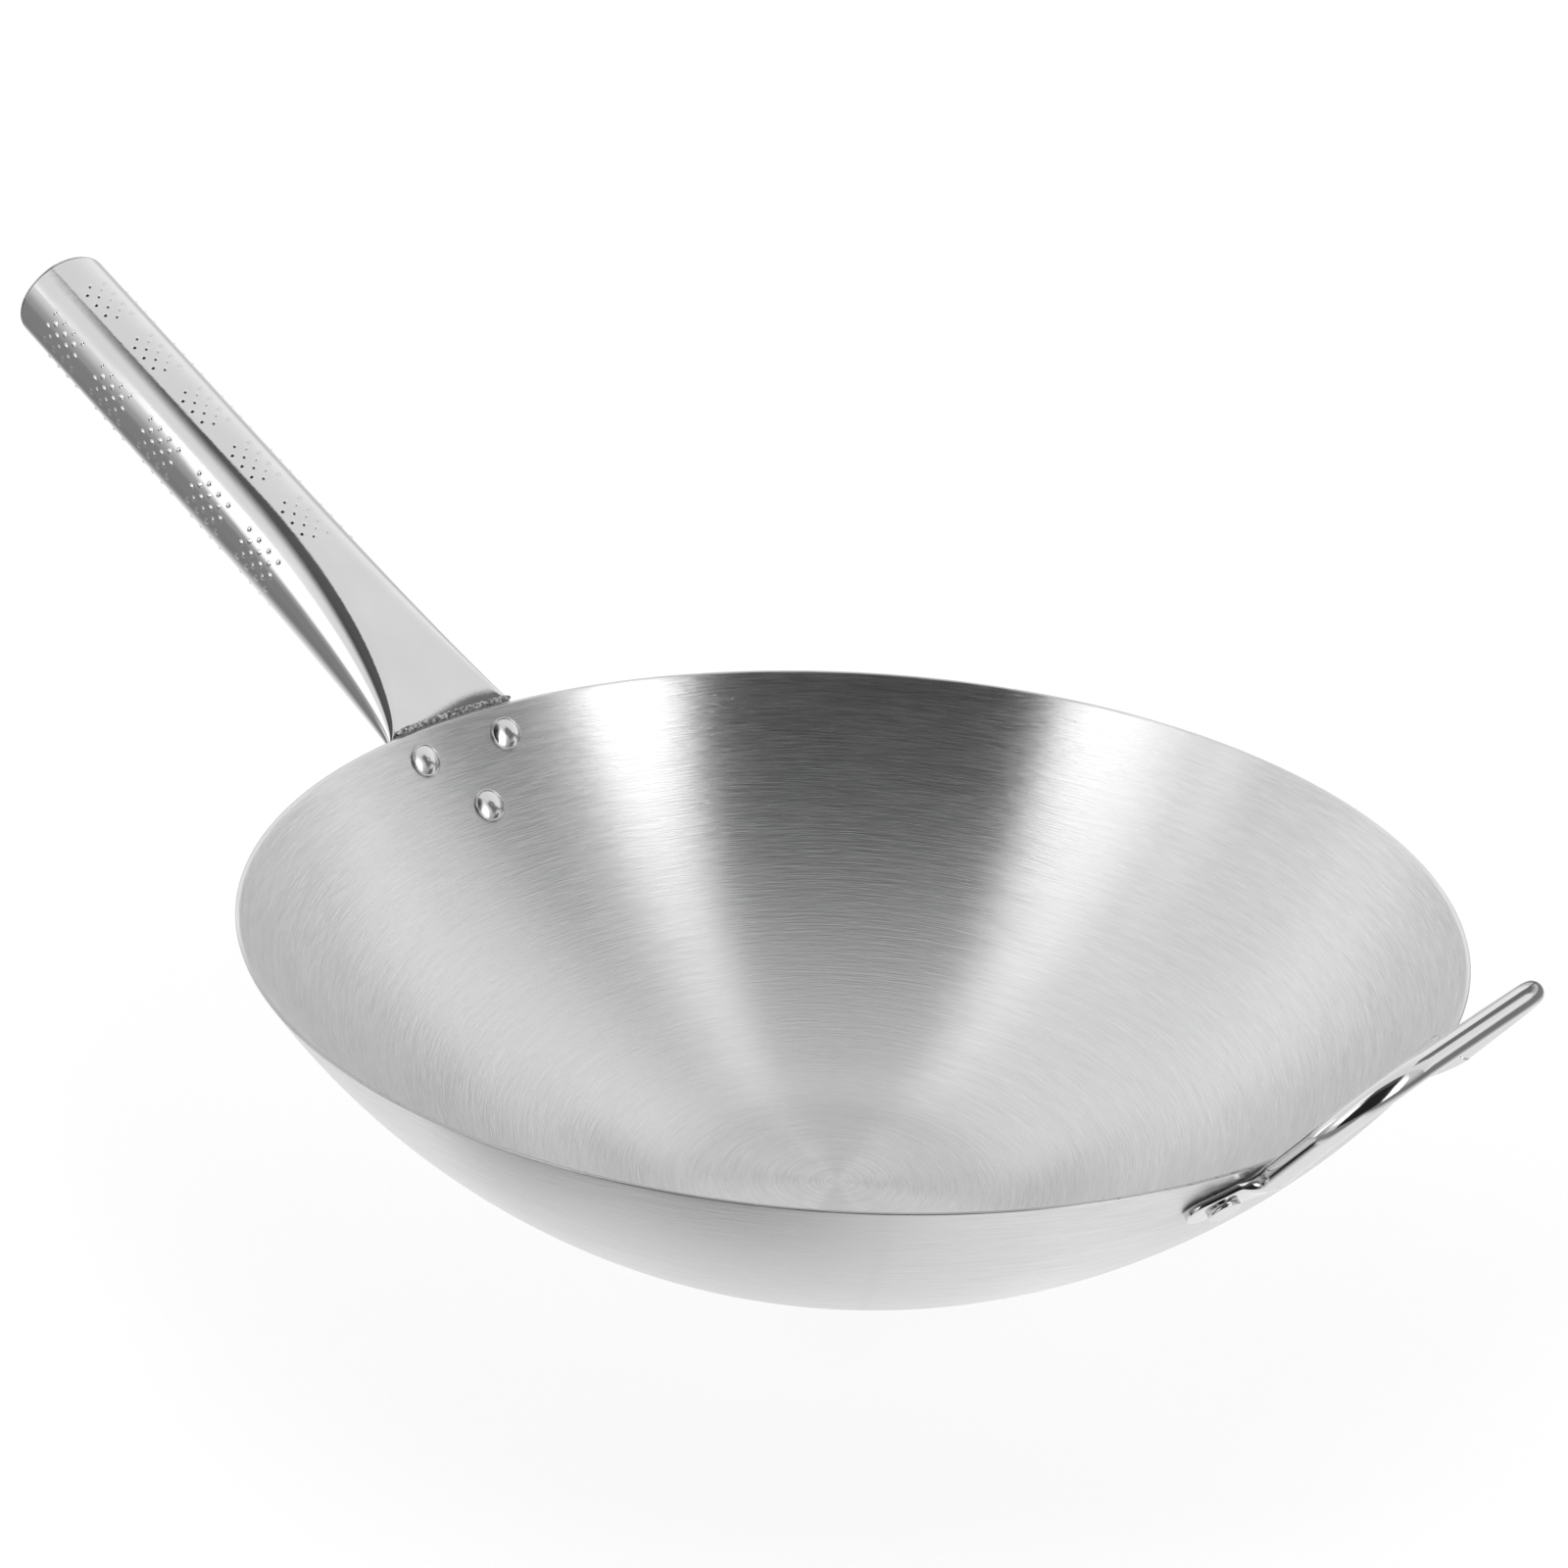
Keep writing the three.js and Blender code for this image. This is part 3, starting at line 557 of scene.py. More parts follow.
upper_radius = arc(wall_centre, WALL_ARC, rim_slope - TANG_RIVET_UPPER_DROP / WALL_ARC)[0]
spread = (tang_half_width - TANG_RIVET_EDGE) / upper_radius
rivets = [set_rivet(*rivet, TANG_THICKNESS) for rivet in (
    ("tang_rivet_left", "handle_rivet_left", spread, TANG_RIVET_UPPER_DROP),
    ("tang_rivet_right", "handle_rivet_right", -spread, TANG_RIVET_UPPER_DROP),
    ("tang_rivet_low", "handle_rivet_low", 0, TANG_RIVET_LOWER_DROP))]

# %% [markdown]
# The helper handle is one bent rod. Both ends are hammered flat and lie slanting on the outside of the
# wall, each under a rivet. Then the rod gets round again, passes the rim, and makes a loop. A curve
# object with a bevel can't change its section on the way, so the rod is a row of rings too: a route of
# points, the way that each ring faces, and a width and thickness for it. One half is worked out, and the
# other is its mirror image. On this wok the helper isn't quite opposite the long handle, so the whole rod
# is turned a little round the axis.

# %% The foot's route
ROD_RADIUS = 3.0
LOOP_HALF_WIDTH = 41.9
FOOT_CORNER_DROP = 6.9
FOOT_SLANT = np.radians(28)
FOOT_BEND = 8.0
FOOT_LENGTH = 18.9

leg_out = arc(wall_centre, WALL_ARC + SEAT_GAP + ROD_RADIUS, rim_slope)
leg_azimuth = np.arcsin(LOOP_HALF_WIDTH / leg_out[0])
foot_turn = np.pi / 2 - FOOT_SLANT
bend_start = FOOT_BEND * np.tan(foot_turn / 2)
foot_run = FOOT_LENGTH - bend_start
bend_run = FOOT_BEND * foot_turn
leg_run = FOOT_CORNER_DROP - bend_start
wall_run = foot_run + bend_run + leg_run
print(f"each end of the rod runs {wall_run:.1f} mm on the wall")


def foot_route(distance):
    """The rod's route on the wall laid out flat, from the foot's tip: a slanting foot, a bend and a leg.
    Gives how far it is aside from the leg, and how far it is below the rim."""
    left = FOOT_LENGTH - distance
    turn = (foot_run + bend_run - distance) / FOOT_BEND
    parts = [distance < foot_run, distance > foot_run + bend_run]
    aside = np.select(parts, [left * np.cos(FOOT_SLANT), 0], FOOT_BEND * (1 - np.cos(turn)))
    drop = np.select(parts, [FOOT_CORNER_DROP + left * np.sin(FOOT_SLANT), wall_run - distance],
                     leg_run + FOOT_BEND * np.sin(turn))
    return aside, drop


# %% The foot's stations
FOOT_WIDTH = 10.4
FOOT_THICKNESS = 2.2
FOOT_SQUARENESS = 0.4
FOOT_TIP_LEAST = 0.12
FOOT_RIVET_INSET = 9.0


def foot_stations(distance):
    """Places, facings, widths, thicknesses and powers of the rings on the wall."""
    aside, drop = foot_route(distance)
    flat_run = FOOT_RIVET_INSET + RIVET_TAIL_RADIUS
    share = np.clip((distance - flat_run) / (wall_run - flat_run), 0, 1)
    rounding = share**2 * (3 - 2 * share)
    thickness = FOOT_THICKNESS + (2 * ROD_RADIUS - FOOT_THICKNESS) * rounding
    tip = 1 - np.minimum(distance / (FOOT_WIDTH / 2), 1)
    tip_share = np.maximum(np.sqrt(1 - tip**2), FOOT_TIP_LEAST)
    width = (FOOT_WIDTH + (2 * ROD_RADIUS - FOOT_WIDTH) * rounding) * tip_share
    power = FOOT_SQUARENESS + (1 - FOOT_SQUARENESS) * rounding
    slope = rim_slope - drop / WALL_ARC
    azimuth = leg_azimuth + aside / RIM_RADIUS
    out, height = arc(wall_centre, WALL_ARC + SEAT_GAP + thickness / 2, slope).T
    place = np.stack([-out * np.cos(azimuth), out * np.sin(azimuth), height], axis=-1)
    facing = np.stack([-np.sin(slope) * np.cos(azimuth), np.sin(slope) * np.sin(azimuth),
                       -np.cos(slope)], axis=-1)
    return place, facing, width, thickness, power


# %% The loop's stations
LOOP_REACH = 35.55
LOOP_RISE = np.radians(52.7)
LOOP_BEND = 20.0
LEG_STEPS = 23
LOOP_BEND_STEPS = 40


def loop_stations():
    """Places of the rings on half of the loop, in its own plane: a straight leg, then a quarter bend."""
    straight = LOOP_REACH - LOOP_BEND
    leg = np.linspace(0, straight, LEG_STEPS, endpoint=False)
    turn = np.linspace(0, np.pi / 2, LOOP_BEND_STEPS)
    reach = np.concatenate([leg, straight + LOOP_BEND * np.sin(turn)])
    bent = LOOP_HALF_WIDTH - LOOP_BEND * (1 - np.cos(turn))
    aside = np.concatenate([np.full(LEG_STEPS, LOOP_HALF_WIDTH), bent])
    leg_reach = leg_out[0] * np.cos(leg_azimuth)
    return np.stack([-leg_reach - reach * np.cos(LOOP_RISE), aside,
                     leg_out[1] + reach * np.sin(LOOP_RISE)], axis=-1)


# %% The helper handle
HELPER_TURN = np.radians(3)
ROD_SIDES = 40
FOOT_STEPS = 79
FOOT_CROWDING = 1.3


def rod_rings(place, facing, width, thickness, power):
    """Rings along a route. Each is a rounded box, (cos^p, sin^p) scaled by half the width and thickness, laid
    across the route with its thickness along the facing."""
    ahead = np.gradient(place, axis=0)
    across = np.cross(facing, ahead)
    across /= np.linalg.norm(across, axis=1, keepdims=True)
    angle = np.arange(ROD_SIDES) * 2 * np.pi / ROD_SIDES
    wide = np.sign(np.cos(angle)) * np.abs(np.cos(angle)) ** power[:, None] * width[:, None] / 2
    thick = np.sign(np.sin(angle)) * np.abs(np.sin(angle)) ** power[:, None] * thickness[:, None] / 2
    return place[:, None] + wide[..., None] * across[:, None] + thick[..., None] * facing[:, None]


def turned(points, angle):
    """Points turned about the Z axis: x cos - y sin and x sin + y cos."""
    cos, sin = np.cos(angle), np.sin(angle)
    return points @ np.array([[cos, sin, 0], [-sin, cos, 0], [0, 0, 1]])


foot = foot_stations(wall_run * np.linspace(0, 1, FOOT_STEPS, endpoint=False) ** FOOT_CROWDING)
loop = loop_stations()
loop_facing = np.broadcast_to([-np.sin(LOOP_RISE), 0, -np.cos(LOOP_RISE)], loop.shape)
thick = np.full(len(loop), 2 * ROD_RADIUS)
half_rod = [np.concatenate(pair) for pair in zip(foot, (loop, loop_facing, thick, thick, np.ones(len(loop))))]
mirror = np.array([1, -1, 1])
other_rod = [values[::-1] * mirror if values.ndim == 2 else values[::-1] for values in half_rod]
rod = turned(rod_rings(*[np.concatenate(pair) for pair in zip(half_rod, other_rod)]), HELPER_TURN)
helper = skin("helper_rod", rod, rod[0].mean(0), rod[-1].mean(0), "helper_steel", "helper_handle")

# %% The helper's rivets
foot_aside, foot_drop = foot_route(np.array([FOOT_RIVET_INSET]))
foot_azimuth = leg_azimuth + foot_aside[0] / RIM_RADIUS
opposite = np.pi + HELPER_TURN
rivets += [set_rivet(*rivet, foot_drop[0], FOOT_THICKNESS) for rivet in (
    ("foot_rivet_left", "helper_rivet_left", opposite - foot_azimuth),
    ("foot_rivet_right", "helper_rivet_right", opposite + foot_azimuth))]

# %% [markdown]
# Each finish is a node material. A few small helpers keep the trees short: one adds a node and fills or
# links its inputs, and the others do the same for sums, ranges, noise and colours. A range is written as
# four numbers: where it starts, where it ends, and the level at each of the two.

# %% Node helpers


def add_node(tree, kind, inputs=None, **options):
    """Adds a node, sets its options, and fills each input with a value or links it to a socket."""
    made = tree.nodes.new(kind)
    for option, value in options.items():
        setattr(made, option, value)
    for socket, value in (inputs or {}).items():
        if isinstance(value, bpy.types.NodeSocket):
            tree.links.new(value, made.inputs[socket])
        else:
            made.inputs[socket].default_value = value
    return made


def maths(tree, operation, *values):
    """One step of arithmetic on numbers and sockets."""
    return add_node(tree, "ShaderNodeMath", dict(enumerate(values)), operation=operation).outputs[0]


def product(tree, *values):
    """All the values multiplied together."""
    return reduce(lambda first, second: maths(tree, "MULTIPLY", first, second), values)


def largest(tree, *values):
    """The largest of the values."""
    return reduce(lambda first, second: maths(tree, "MAXIMUM", first, second), values)


def vector_maths(tree, operation, *values):
    """One step of arithmetic on vectors. The result is a vector, or a number where the step measures."""
    made = add_node(tree, "ShaderNodeVectorMath", dict(enumerate(values)), operation=operation)
    return made.outputs["Value" if operation in ("LENGTH", "DISTANCE", "DOT_PRODUCT") else "Vector"]


def ramp(tree, value, low, high, new_low, new_high):
    """Maps a range of numbers smoothly onto another, and holds the ends."""
    return add_node(tree, "ShaderNodeMapRange", {
        "Value": value, "From Min": low, "From Max": high, "To Min": new_low, "To Max": new_high},
        interpolation_type="SMOOTHSTEP").outputs["Result"]


def cloudy(tree, place, scale, detail=3.0, rough=0.55):
    """Noise over a place, from 0 to 1."""
    return add_node(tree, "ShaderNodeTexNoise", {
        "Vector": place, "Scale": scale, "Detail": detail, "Roughness": rough}).outputs["Fac"]


# %% Metal helpers
def grey(level, blue=1.0):
    """A grey as red, green, blue and alpha, with its blue raised a little where steel needs it."""
    return level, level, level * blue, 1


def blend(tree, share, first, second):
    """Mixes two colours by a share."""
    return add_node(tree, "ShaderNodeMix", {0: share, 6: first, 7: second}, data_type="RGBA").outputs[2]


def bare_metal(name):
    """A metal with nothing else set: the material, its tree, its shader and the object's coordinates."""
    material = bpy.data.materials.new(name)
    material.use_nodes = True
    tree = material.node_tree
    shader = tree.nodes["Principled BSDF"]
    shader.inputs["Metallic"].default_value = 1.0
    place = tree.nodes.new("ShaderNodeTexCoord").outputs["Object"]
    return material, tree, shader, place


def wear(tree, shader, colour, height, strength, depth):
    """Gives a metal its colour, and lets a height from 0 to 1 tilt its surface like marks of a depth."""
    bump = add_node(tree, "ShaderNodeBump", {"Height": height, "Strength": strength, "Distance": depth})
    tree.links.new(colour, shader.inputs["Base Color"])
    tree.links.new(bump.outputs["Normal"], shader.inputs["Normal"])


# %% [markdown]
# The bowl was turned against a belt, so its grain runs in rings about the axis, inside and out. Such a
# grain spreads a reflection across the rings and not along them, which makes the bright fans that meet in
# the middle of the bowl. The shader's anisotropy does that, with its tangent running round Z. The grain
# itself is noise on coordinates that are long round the axis and short across it. Broad, middling and
# fine strokes are each given by a length and a width in metres, and by their share of the whole.

# %% The brush strokes
STROKES = ((0.06, 0.004, 0.11), (0.022, 0.0009, 0.37), (0.009, 0.0003, 0.52))
STROKE_CONTRAST = (0.003, 0.03, 5.5, 3.6)
SCRATCH = (0.007, 0.00035)
SCRATCH_LEVEL = (0.64, 0.72, 0.5, 1.0)
MIDDLE_LEVEL = 0.5


def ring_noise(tree, flat, stroke, line, detail=2.0):
    """Noise in strokes that run round the axis. Its coordinates are x and y over the stroke's length, and the
    distance from the axis over the width of a line as height. So it has no seam, and makes rings at the
    middle."""
    sides = vector_maths(tree, "SCALE", flat)
    sides.node.inputs["Scale"].default_value = 1 / stroke
    distance = maths(tree, "DIVIDE", vector_maths(tree, "LENGTH", flat), line)
    lift = add_node(tree, "ShaderNodeCombineXYZ", {"Z": distance}).outputs["Vector"]
    return cloudy(tree, vector_maths(tree, "ADD", sides, lift), 1.0, detail)


def brush_strokes(tree, flat):
    """Brush strokes, held between 0 and 1: broad, middling and fine ring noise, each by its share, with more
    contrast near the bowl's middle, and light scratches where one more ring noise is at its highest."""
    strokes = 0.0
    for stroke, line, share in STROKES:
        strokes = maths(tree, "MULTIPLY_ADD", ring_noise(tree, flat, stroke, line), share, strokes)
    contrast = ramp(tree, vector_maths(tree, "LENGTH", flat), *STROKE_CONTRAST)
    scratches = ramp(tree, ring_noise(tree, flat, *SCRATCH, detail=1.0), *SCRATCH_LEVEL)
    marks = maths(tree, "MULTIPLY_ADD", maths(tree, "SUBTRACT", strokes, MIDDLE_LEVEL), contrast, scratches)
    return add_node(tree, "ShaderNodeClamp", {0: marks}).outputs[0]


# %% The rim's cut specks and painted shade
# The rim's dark line is painted shade along the front that faces the camera, with the cut's specks in it.
RIM_LINE_BAND = ((BOWL_HEIGHT - 0.25) * MM, (BOWL_HEIGHT - 0.05) * MM, 0.0, 1.0)
SHADED_SIDE_WAY = (-0.66, 0.75, 0)
SHADED_FRONT = (0.03, 0.08, 0.0, 1.0)
PATCH_SCALE = 14.0
PATCH_LEVEL = (0.45, 0.6, 0.0, 0.8)
SPECK_SCALE = 900.0
SPECK_LEVEL = (0.5, 0.62, 0.0, 1.0)
RIM_LINE_LEAST = 0.55


def rim_cut_and_painted_shade(tree, place):
    """Share of the dark line along the front of the rim: painted shade on the side that faces the camera,
    with darker specks in patches for the marks that the cut left.
    """
    height = add_node(tree, "ShaderNodeSeparateXYZ", {0: place}).outputs["Z"]
    forward = vector_maths(tree, "DOT_PRODUCT", place, SHADED_SIDE_WAY)
    patches = ramp(tree, cloudy(tree, place, PATCH_SCALE, detail=1.0), *PATCH_LEVEL)
    specks = ramp(tree, cloudy(tree, place, SPECK_SCALE, detail=2.0), *SPECK_LEVEL)
    line = largest(tree, product(tree, patches, specks), RIM_LINE_LEAST)
    return product(tree, ramp(tree, height, *RIM_LINE_BAND), ramp(tree, forward, *SHADED_FRONT), line)


# %% The brushed finish
STEEL_BLUE = 1.008
STEEL_DARK = grey(0.72, STEEL_BLUE)
STEEL_LIGHT = grey(0.84, STEEL_BLUE)
RIM_CUT_AND_SHADE_DARK = grey(0.25, STEEL_BLUE)
SATIN = (0.0, 1.0, 0.29, 0.34)
STROKE_STRAY = 0.08


def brushed_finish():
    """Satin steel brushed in rings. Its tangent runs round the axis and strays a little with the strokes."""
    material, tree, shader, place = bare_metal("brushed_bowl")
    flat = vector_maths(tree, "MULTIPLY", place, (1, 1, 0))
    strokes = brush_strokes(tree, flat)
    steel = blend(tree, strokes, STEEL_DARK, STEEL_LIGHT)
    # Painted shade and cut specks: the rim's dark line darkens the steel's colour at the front only.
    colour = blend(tree, rim_cut_and_painted_shade(tree, place), steel, RIM_CUT_AND_SHADE_DARK)
    wear(tree, shader, colour, strokes, strength=0.25, depth=0.0002)
    tree.links.new(ramp(tree, strokes, *SATIN), shader.inputs["Roughness"])
    round_axis = vector_maths(tree, "NORMALIZE", vector_maths(tree, "CROSS_PRODUCT", (0, 0, 1), flat))
    stray = vector_maths(tree, "SCALE", vector_maths(tree, "NORMALIZE", flat))
    amount = product(tree, maths(tree, "SUBTRACT", strokes, MIDDLE_LEVEL), STROKE_STRAY)
    tree.links.new(amount, stray.node.inputs["Scale"])
    tree.links.new(vector_maths(tree, "ADD", round_axis, stray), shader.inputs["Tangent"])
    shader.inputs["Anisotropic"].default_value = 0.93
    shader.inputs["Anisotropic Rotation"].default_value = 0.25
    return material


bowl.data.materials.append(brushed_finish())
print("the bowl wears", bowl.data.materials[0].name)

# %% [markdown]
# The handles and rivets are polished. A polish is never perfect: fine lines run along the way of the
# buffing wheel and the gloss varies in soft clouds. Both are small, because the shape of the reflections
# has to stay clear. The weld is duller and mottled.

# %% The polished finishes
CLOUD_DARK = 0.9
POLISH_BLUE = 1.01
CLOUD_LEVEL = (0.3, 0.7)
GLOSS_RANGE = (0.75, 1.35)


def polished_finish(name, level, gloss, cloud_scale, line_scale):
    """Polished steel of a grey level: soft clouds in its colour and around its gloss, and fine lines on
    coordinates that are stretched by the line scale."""
    material, tree, shader, place = bare_metal(name)
    cloud = cloudy(tree, place, cloud_scale)
    lines = cloudy(tree, vector_maths(tree, "MULTIPLY", place, line_scale), 1.0, detail=2.0)
    colour = blend(tree, cloud, grey(CLOUD_DARK * level), grey(level, POLISH_BLUE))
    wear(tree, shader, colour, lines, strength=0.03, depth=0.0003)
    roughness = ramp(tree, cloud, *CLOUD_LEVEL, gloss * GLOSS_RANGE[0], gloss * GLOSS_RANGE[1])
    tree.links.new(roughness, shader.inputs["Roughness"])
    return material


# %% The weld's finish
MOTTLE_SCALE = 700.0
MOTTLE_LEVEL = (0.42, 0.64, 0, 1)
WELD_DARK = grey(0.2)
WELD_LIGHT = grey(0.75)


def weld_finish():
    """Weld metal: mottled grey, rough, with a grainy surface."""
    material, tree, shader, place = bare_metal("weld_metal")
    mottle = cloudy(tree, place, MOTTLE_SCALE, detail=4.0, rough=0.65)
    colour = blend(tree, ramp(tree, mottle, *MOTTLE_LEVEL), WELD_DARK, WELD_LIGHT)
    wear(tree, shader, colour, mottle, strength=0.6, depth=0.0005)
    shader.inputs["Roughness"].default_value = 0.32
    return material


# %% Every piece gets its finish
tube_finish = polished_finish("polished_tube", level=0.80, gloss=0.06, cloud_scale=60.0,
                              line_scale=(60.0, 900.0, 900.0))
rod_finish = polished_finish("polished_rod", level=0.80, gloss=0.09, cloud_scale=120.0,
                             line_scale=(90.0, 900.0, 900.0))
rivet_finish = polished_finish("polished_rivet", level=0.78, gloss=0.14, cloud_scale=300.0,
                               line_scale=(900.0, 900.0, 900.0))
for pieces, finish in (([handle, grip_dots, end_cap], tube_finish), ([helper], rod_finish),
                       (rivets, rivet_finish), ([weld], weld_finish())):
    for piece in pieces:
        piece.data.materials.append(finish)
print("finishes:", [material.name for material in bpy.data.materials if material.users])

# %% [markdown]
# The camera stands above the helper handle's side and looks across the bowl to the long handle. Its place
# and its axes were solved from the rim's ellipse in the photograph, so they are set as one matrix.

# %% The camera
CAMERA_AXES = np.array([[-0.72484, -0.68762, 0.04231],
                        [0.30303, -0.26308, 0.91595],
                        [-0.6187, 0.67673, 0.39906]])
CAMERA_PLACE = np.array([-0.4876, 0.56208, 0.44234])
camera = bpy.data.objects.new("camera", bpy.data.cameras.new("camera"))
camera.data.lens = 72.0
camera.data.sensor_width = 36.0
camera.data.clip_start = 0.01
bpy.context.scene.collection.objects.link(camera)
pose = np.eye(4)
pose[:3, :3] = CAMERA_AXES.T
pose[:3, 3] = CAMERA_PLACE
camera.matrix_world = Matrix(pose)
bpy.context.scene.camera = camera
print("camera:", np.round(CAMERA_PLACE, 3), "looks at", np.round(-CAMERA_AXES[2], 3))

# %% [markdown]
# Metal shows little of its own: what it shows is the studio. A white wall and ceiling stand behind the
# wok, and their front edge gives the sharp dark band along the tube. A lit sheet stands at the left of
# the camera and a narrower soft box at the right, which make the two bright fans in the bowl. The gap
# between them is dark, which makes the wedge between the fans. The studio is painted in the world by
# direction, so it is soft and free of noise, while the camera itself sees plain white. Directions are
# given as on a ceiling: how far ahead (to the camera) and how far aside (to the right of the picture) for
# one step up.

# %% The edges of the lit sides
FRONT = np.array([-0.656, 0.755, 0])
RIGHT = np.array([-0.725, -0.688, 0])
INNER_SOFT = 0.24


def past_edge(tree, ahead, aside, offset, lean, spread, start):
    """Share past the inner edge of a lit side. The edge is the larger of offset + lean x ahead and
    spread x ahead, so the dark gap opens wider towards the floor. The light grows from start before it."""
    edge = largest(tree, maths(tree, "MULTIPLY_ADD", ahead, lean, offset), product(tree, ahead, spread))
    return ramp(tree, maths(tree, "SUBTRACT", aside, edge), -start, INNER_SOFT, 0.0, 1.0)


def before_edge(tree, ahead, aside, offset, lean, soft):
    """Share before the outer edge of a lit side, which is offset + lean x ahead."""
    edge = maths(tree, "MULTIPLY_ADD", ahead, lean, offset)
    return ramp(tree, maths(tree, "SUBTRACT", edge, aside), -soft, soft, 0.0, 1.0)


# %% The lit sheet at the left
LEFT_INNER = {"offset": 0.36, "lean": 0.5, "spread": 0.9, "start": 0.14}
LEFT_OUTER = {"offset": 0.7, "lean": 2.3, "soft": 0.35}
LEFT_BY_HEIGHT = (0.1, 0.5, 0.3, 1.0)
LEFT_BY_AHEAD = (0.4, 0.8, 1.75, 2.4)
SEAM_OFFSET = 0.09
SEAM_LEAN = 0.33
SEAM_DIP = (0.09, 0.18, 0.5, 1.0)
LEFT_ROOM = (0.0, 0.45, 0.38, 0.85)


def left_sheet(tree, ahead, aside, height):
    """A tall lit sheet, bright overhead and dim towards the horizon, with a dim room beyond it. A seam in the
    sheet, along ahead = offset + lean x aside, is half as bright."""
    seam = maths(tree, "MULTIPLY_ADD", aside, SEAM_LEAN, SEAM_OFFSET)
    off_seam = maths(tree, "ABSOLUTE", maths(tree, "SUBTRACT", ahead, seam))
    lit = product(tree, ramp(tree, height, *LEFT_BY_HEIGHT), ramp(tree, ahead, *LEFT_BY_AHEAD),
                  ramp(tree, off_seam, *SEAM_DIP), before_edge(tree, ahead, aside, **LEFT_OUTER))
    inner = past_edge(tree, ahead, aside, **LEFT_INNER)
    return product(tree, inner, largest(tree, lit, ramp(tree, height, *LEFT_ROOM)))


# %% The soft box at the right
RIGHT_INNER = {"offset": 0.30, "lean": 0.42, "spread": 0.67, "start": 0.06}
RIGHT_OUTER = {"offset": 0.55, "lean": 1.4, "soft": 0.45}
RIGHT_BY_AHEAD = (0.3, 0.9, 1.2, 2.45)
RIGHT_ROOM = (0.0, 0.5, 0.42, 0.7)


def right_box(tree, ahead, aside, height):
    """A soft box that is brighter towards its foot, with a room beyond it that dims towards the horizon."""
    lit = product(tree, ramp(tree, ahead, *RIGHT_BY_AHEAD), before_edge(tree, ahead, aside, **RIGHT_OUTER))
    inner = past_edge(tree, ahead, aside, **RIGHT_INNER)
    return product(tree, inner, largest(tree, lit, ramp(tree, height, *RIGHT_ROOM)))


# %% The studio
LEAST_HEIGHT = 0.03
WALL_TOP = (-2.0, -0.1, 1.0, 0.84)
WALL_FOOT = (-5.5, -2.2, 0.66, 1.0)
WALL_END = (0.02, 0.07, 1.0, 0.0)
DARK_GAP = (0.15, 0.6, 0.11, 0.02)


def studio_light(tree, way):
    """Strength of the studio's light from a direction: the largest of the back wall, the dark gap and the two
    lit sides. The wall dims towards the horizon."""
    height = add_node(tree, "ShaderNodeSeparateXYZ", {0: way}).outputs["Z"]
    up = largest(tree, height, LEAST_HEIGHT)
    ahead, aside = [maths(tree, "DIVIDE", vector_maths(tree, "DOT_PRODUCT", way, side), up)
                    for side in (FRONT, RIGHT)]
    wall = product(tree, *[ramp(tree, ahead, *levels) for levels in (WALL_TOP, WALL_FOOT, WALL_END)])
    return largest(tree, wall, ramp(tree, ahead, *DARK_GAP),
                   left_sheet(tree, ahead, product(tree, aside, -1.0), height),
                   right_box(tree, ahead, aside, height))


def studio_world():
    """A world that is white to the camera, and the studio to everything else."""
    world = bpy.data.worlds.new("studio")
    world.use_nodes = True
    tree = world.node_tree
    tree.nodes.clear()
    way = tree.nodes.new("ShaderNodeTexCoord").outputs["Generated"]
    lit, white = [add_node(tree, "ShaderNodeBackground", {"Color": grey(1), "Strength": strength}).outputs[0]
                  for strength in (studio_light(tree, way), 1.0)]
    seen = tree.nodes.new("ShaderNodeLightPath").outputs["Is Camera Ray"]
    mix = add_node(tree, "ShaderNodeMixShader", {0: seen, 1: lit, 2: white})
    add_node(tree, "ShaderNodeOutputWorld", {"Surface": mix.outputs[0]})
    return world


bpy.context.scene.world = studio_world()
print("studio:", len(bpy.context.scene.world.node_tree.nodes), "nodes")

# %% [markdown]
# The floor is a pale sheet that runs past the view. To the camera it glows a little, so that it meets the
# white background without an edge, and it keeps the soft shadow under the bowl. To the metal it is white
# under the wok and darker towards both sides, like a studio's floor where the light ends, with two small
# shades by the helper that darken the rod's underside.

# %% The floor
FLOOR_REACH = 6.0
FLOOR_GAP = 0.0002
SQUARE = np.array([[-1, -1], [1, -1], [1, 1], [-1, 1]])
floor_mesh = bpy.data.meshes.new("floor")
floor_corners = np.column_stack([SQUARE * FLOOR_REACH, np.full(4, -FLOOR_GAP)])
floor_mesh.from_pydata(floor_corners, [], [[0, 1, 2, 3]])
floor = bpy.data.objects.new("floor", floor_mesh)
bpy.context.scene.collection.objects.link(floor)
print("floor:", 2 * FLOOR_REACH, "m wide")

# %% What the metal sees of the floor
EDGE_SLANT = -0.58
LEFT_EDGE = (-0.26, -0.06, 0.24, 0.95)
PAST_LEFT_EDGE = (-0.40, -0.27, 0.26, 0.0)
FAR_LEFT = (-5.0, -0.6, 0.1, 0.0)
UNDER_WOK = (0.22, 0.42, 0.95, 0.0)
RIGHT_FADE = (0.18, 0.37, 0.95, 0.22)
FOOT_SHADE = (-0.012, 0.250, 0)
FOOT_SHADE_FADE = (0.045, 0.1, 0.05, 1.0)
LEG_SHADE = 0.20
LEG_SHADE_FADE = (0.02, 0.06, 0.1, 1.0)
LEG_SHADE_ENDS = ((-0.08, 0.05, 0.1, 1.0), (-0.24, -0.18, 1.0, 0.1))


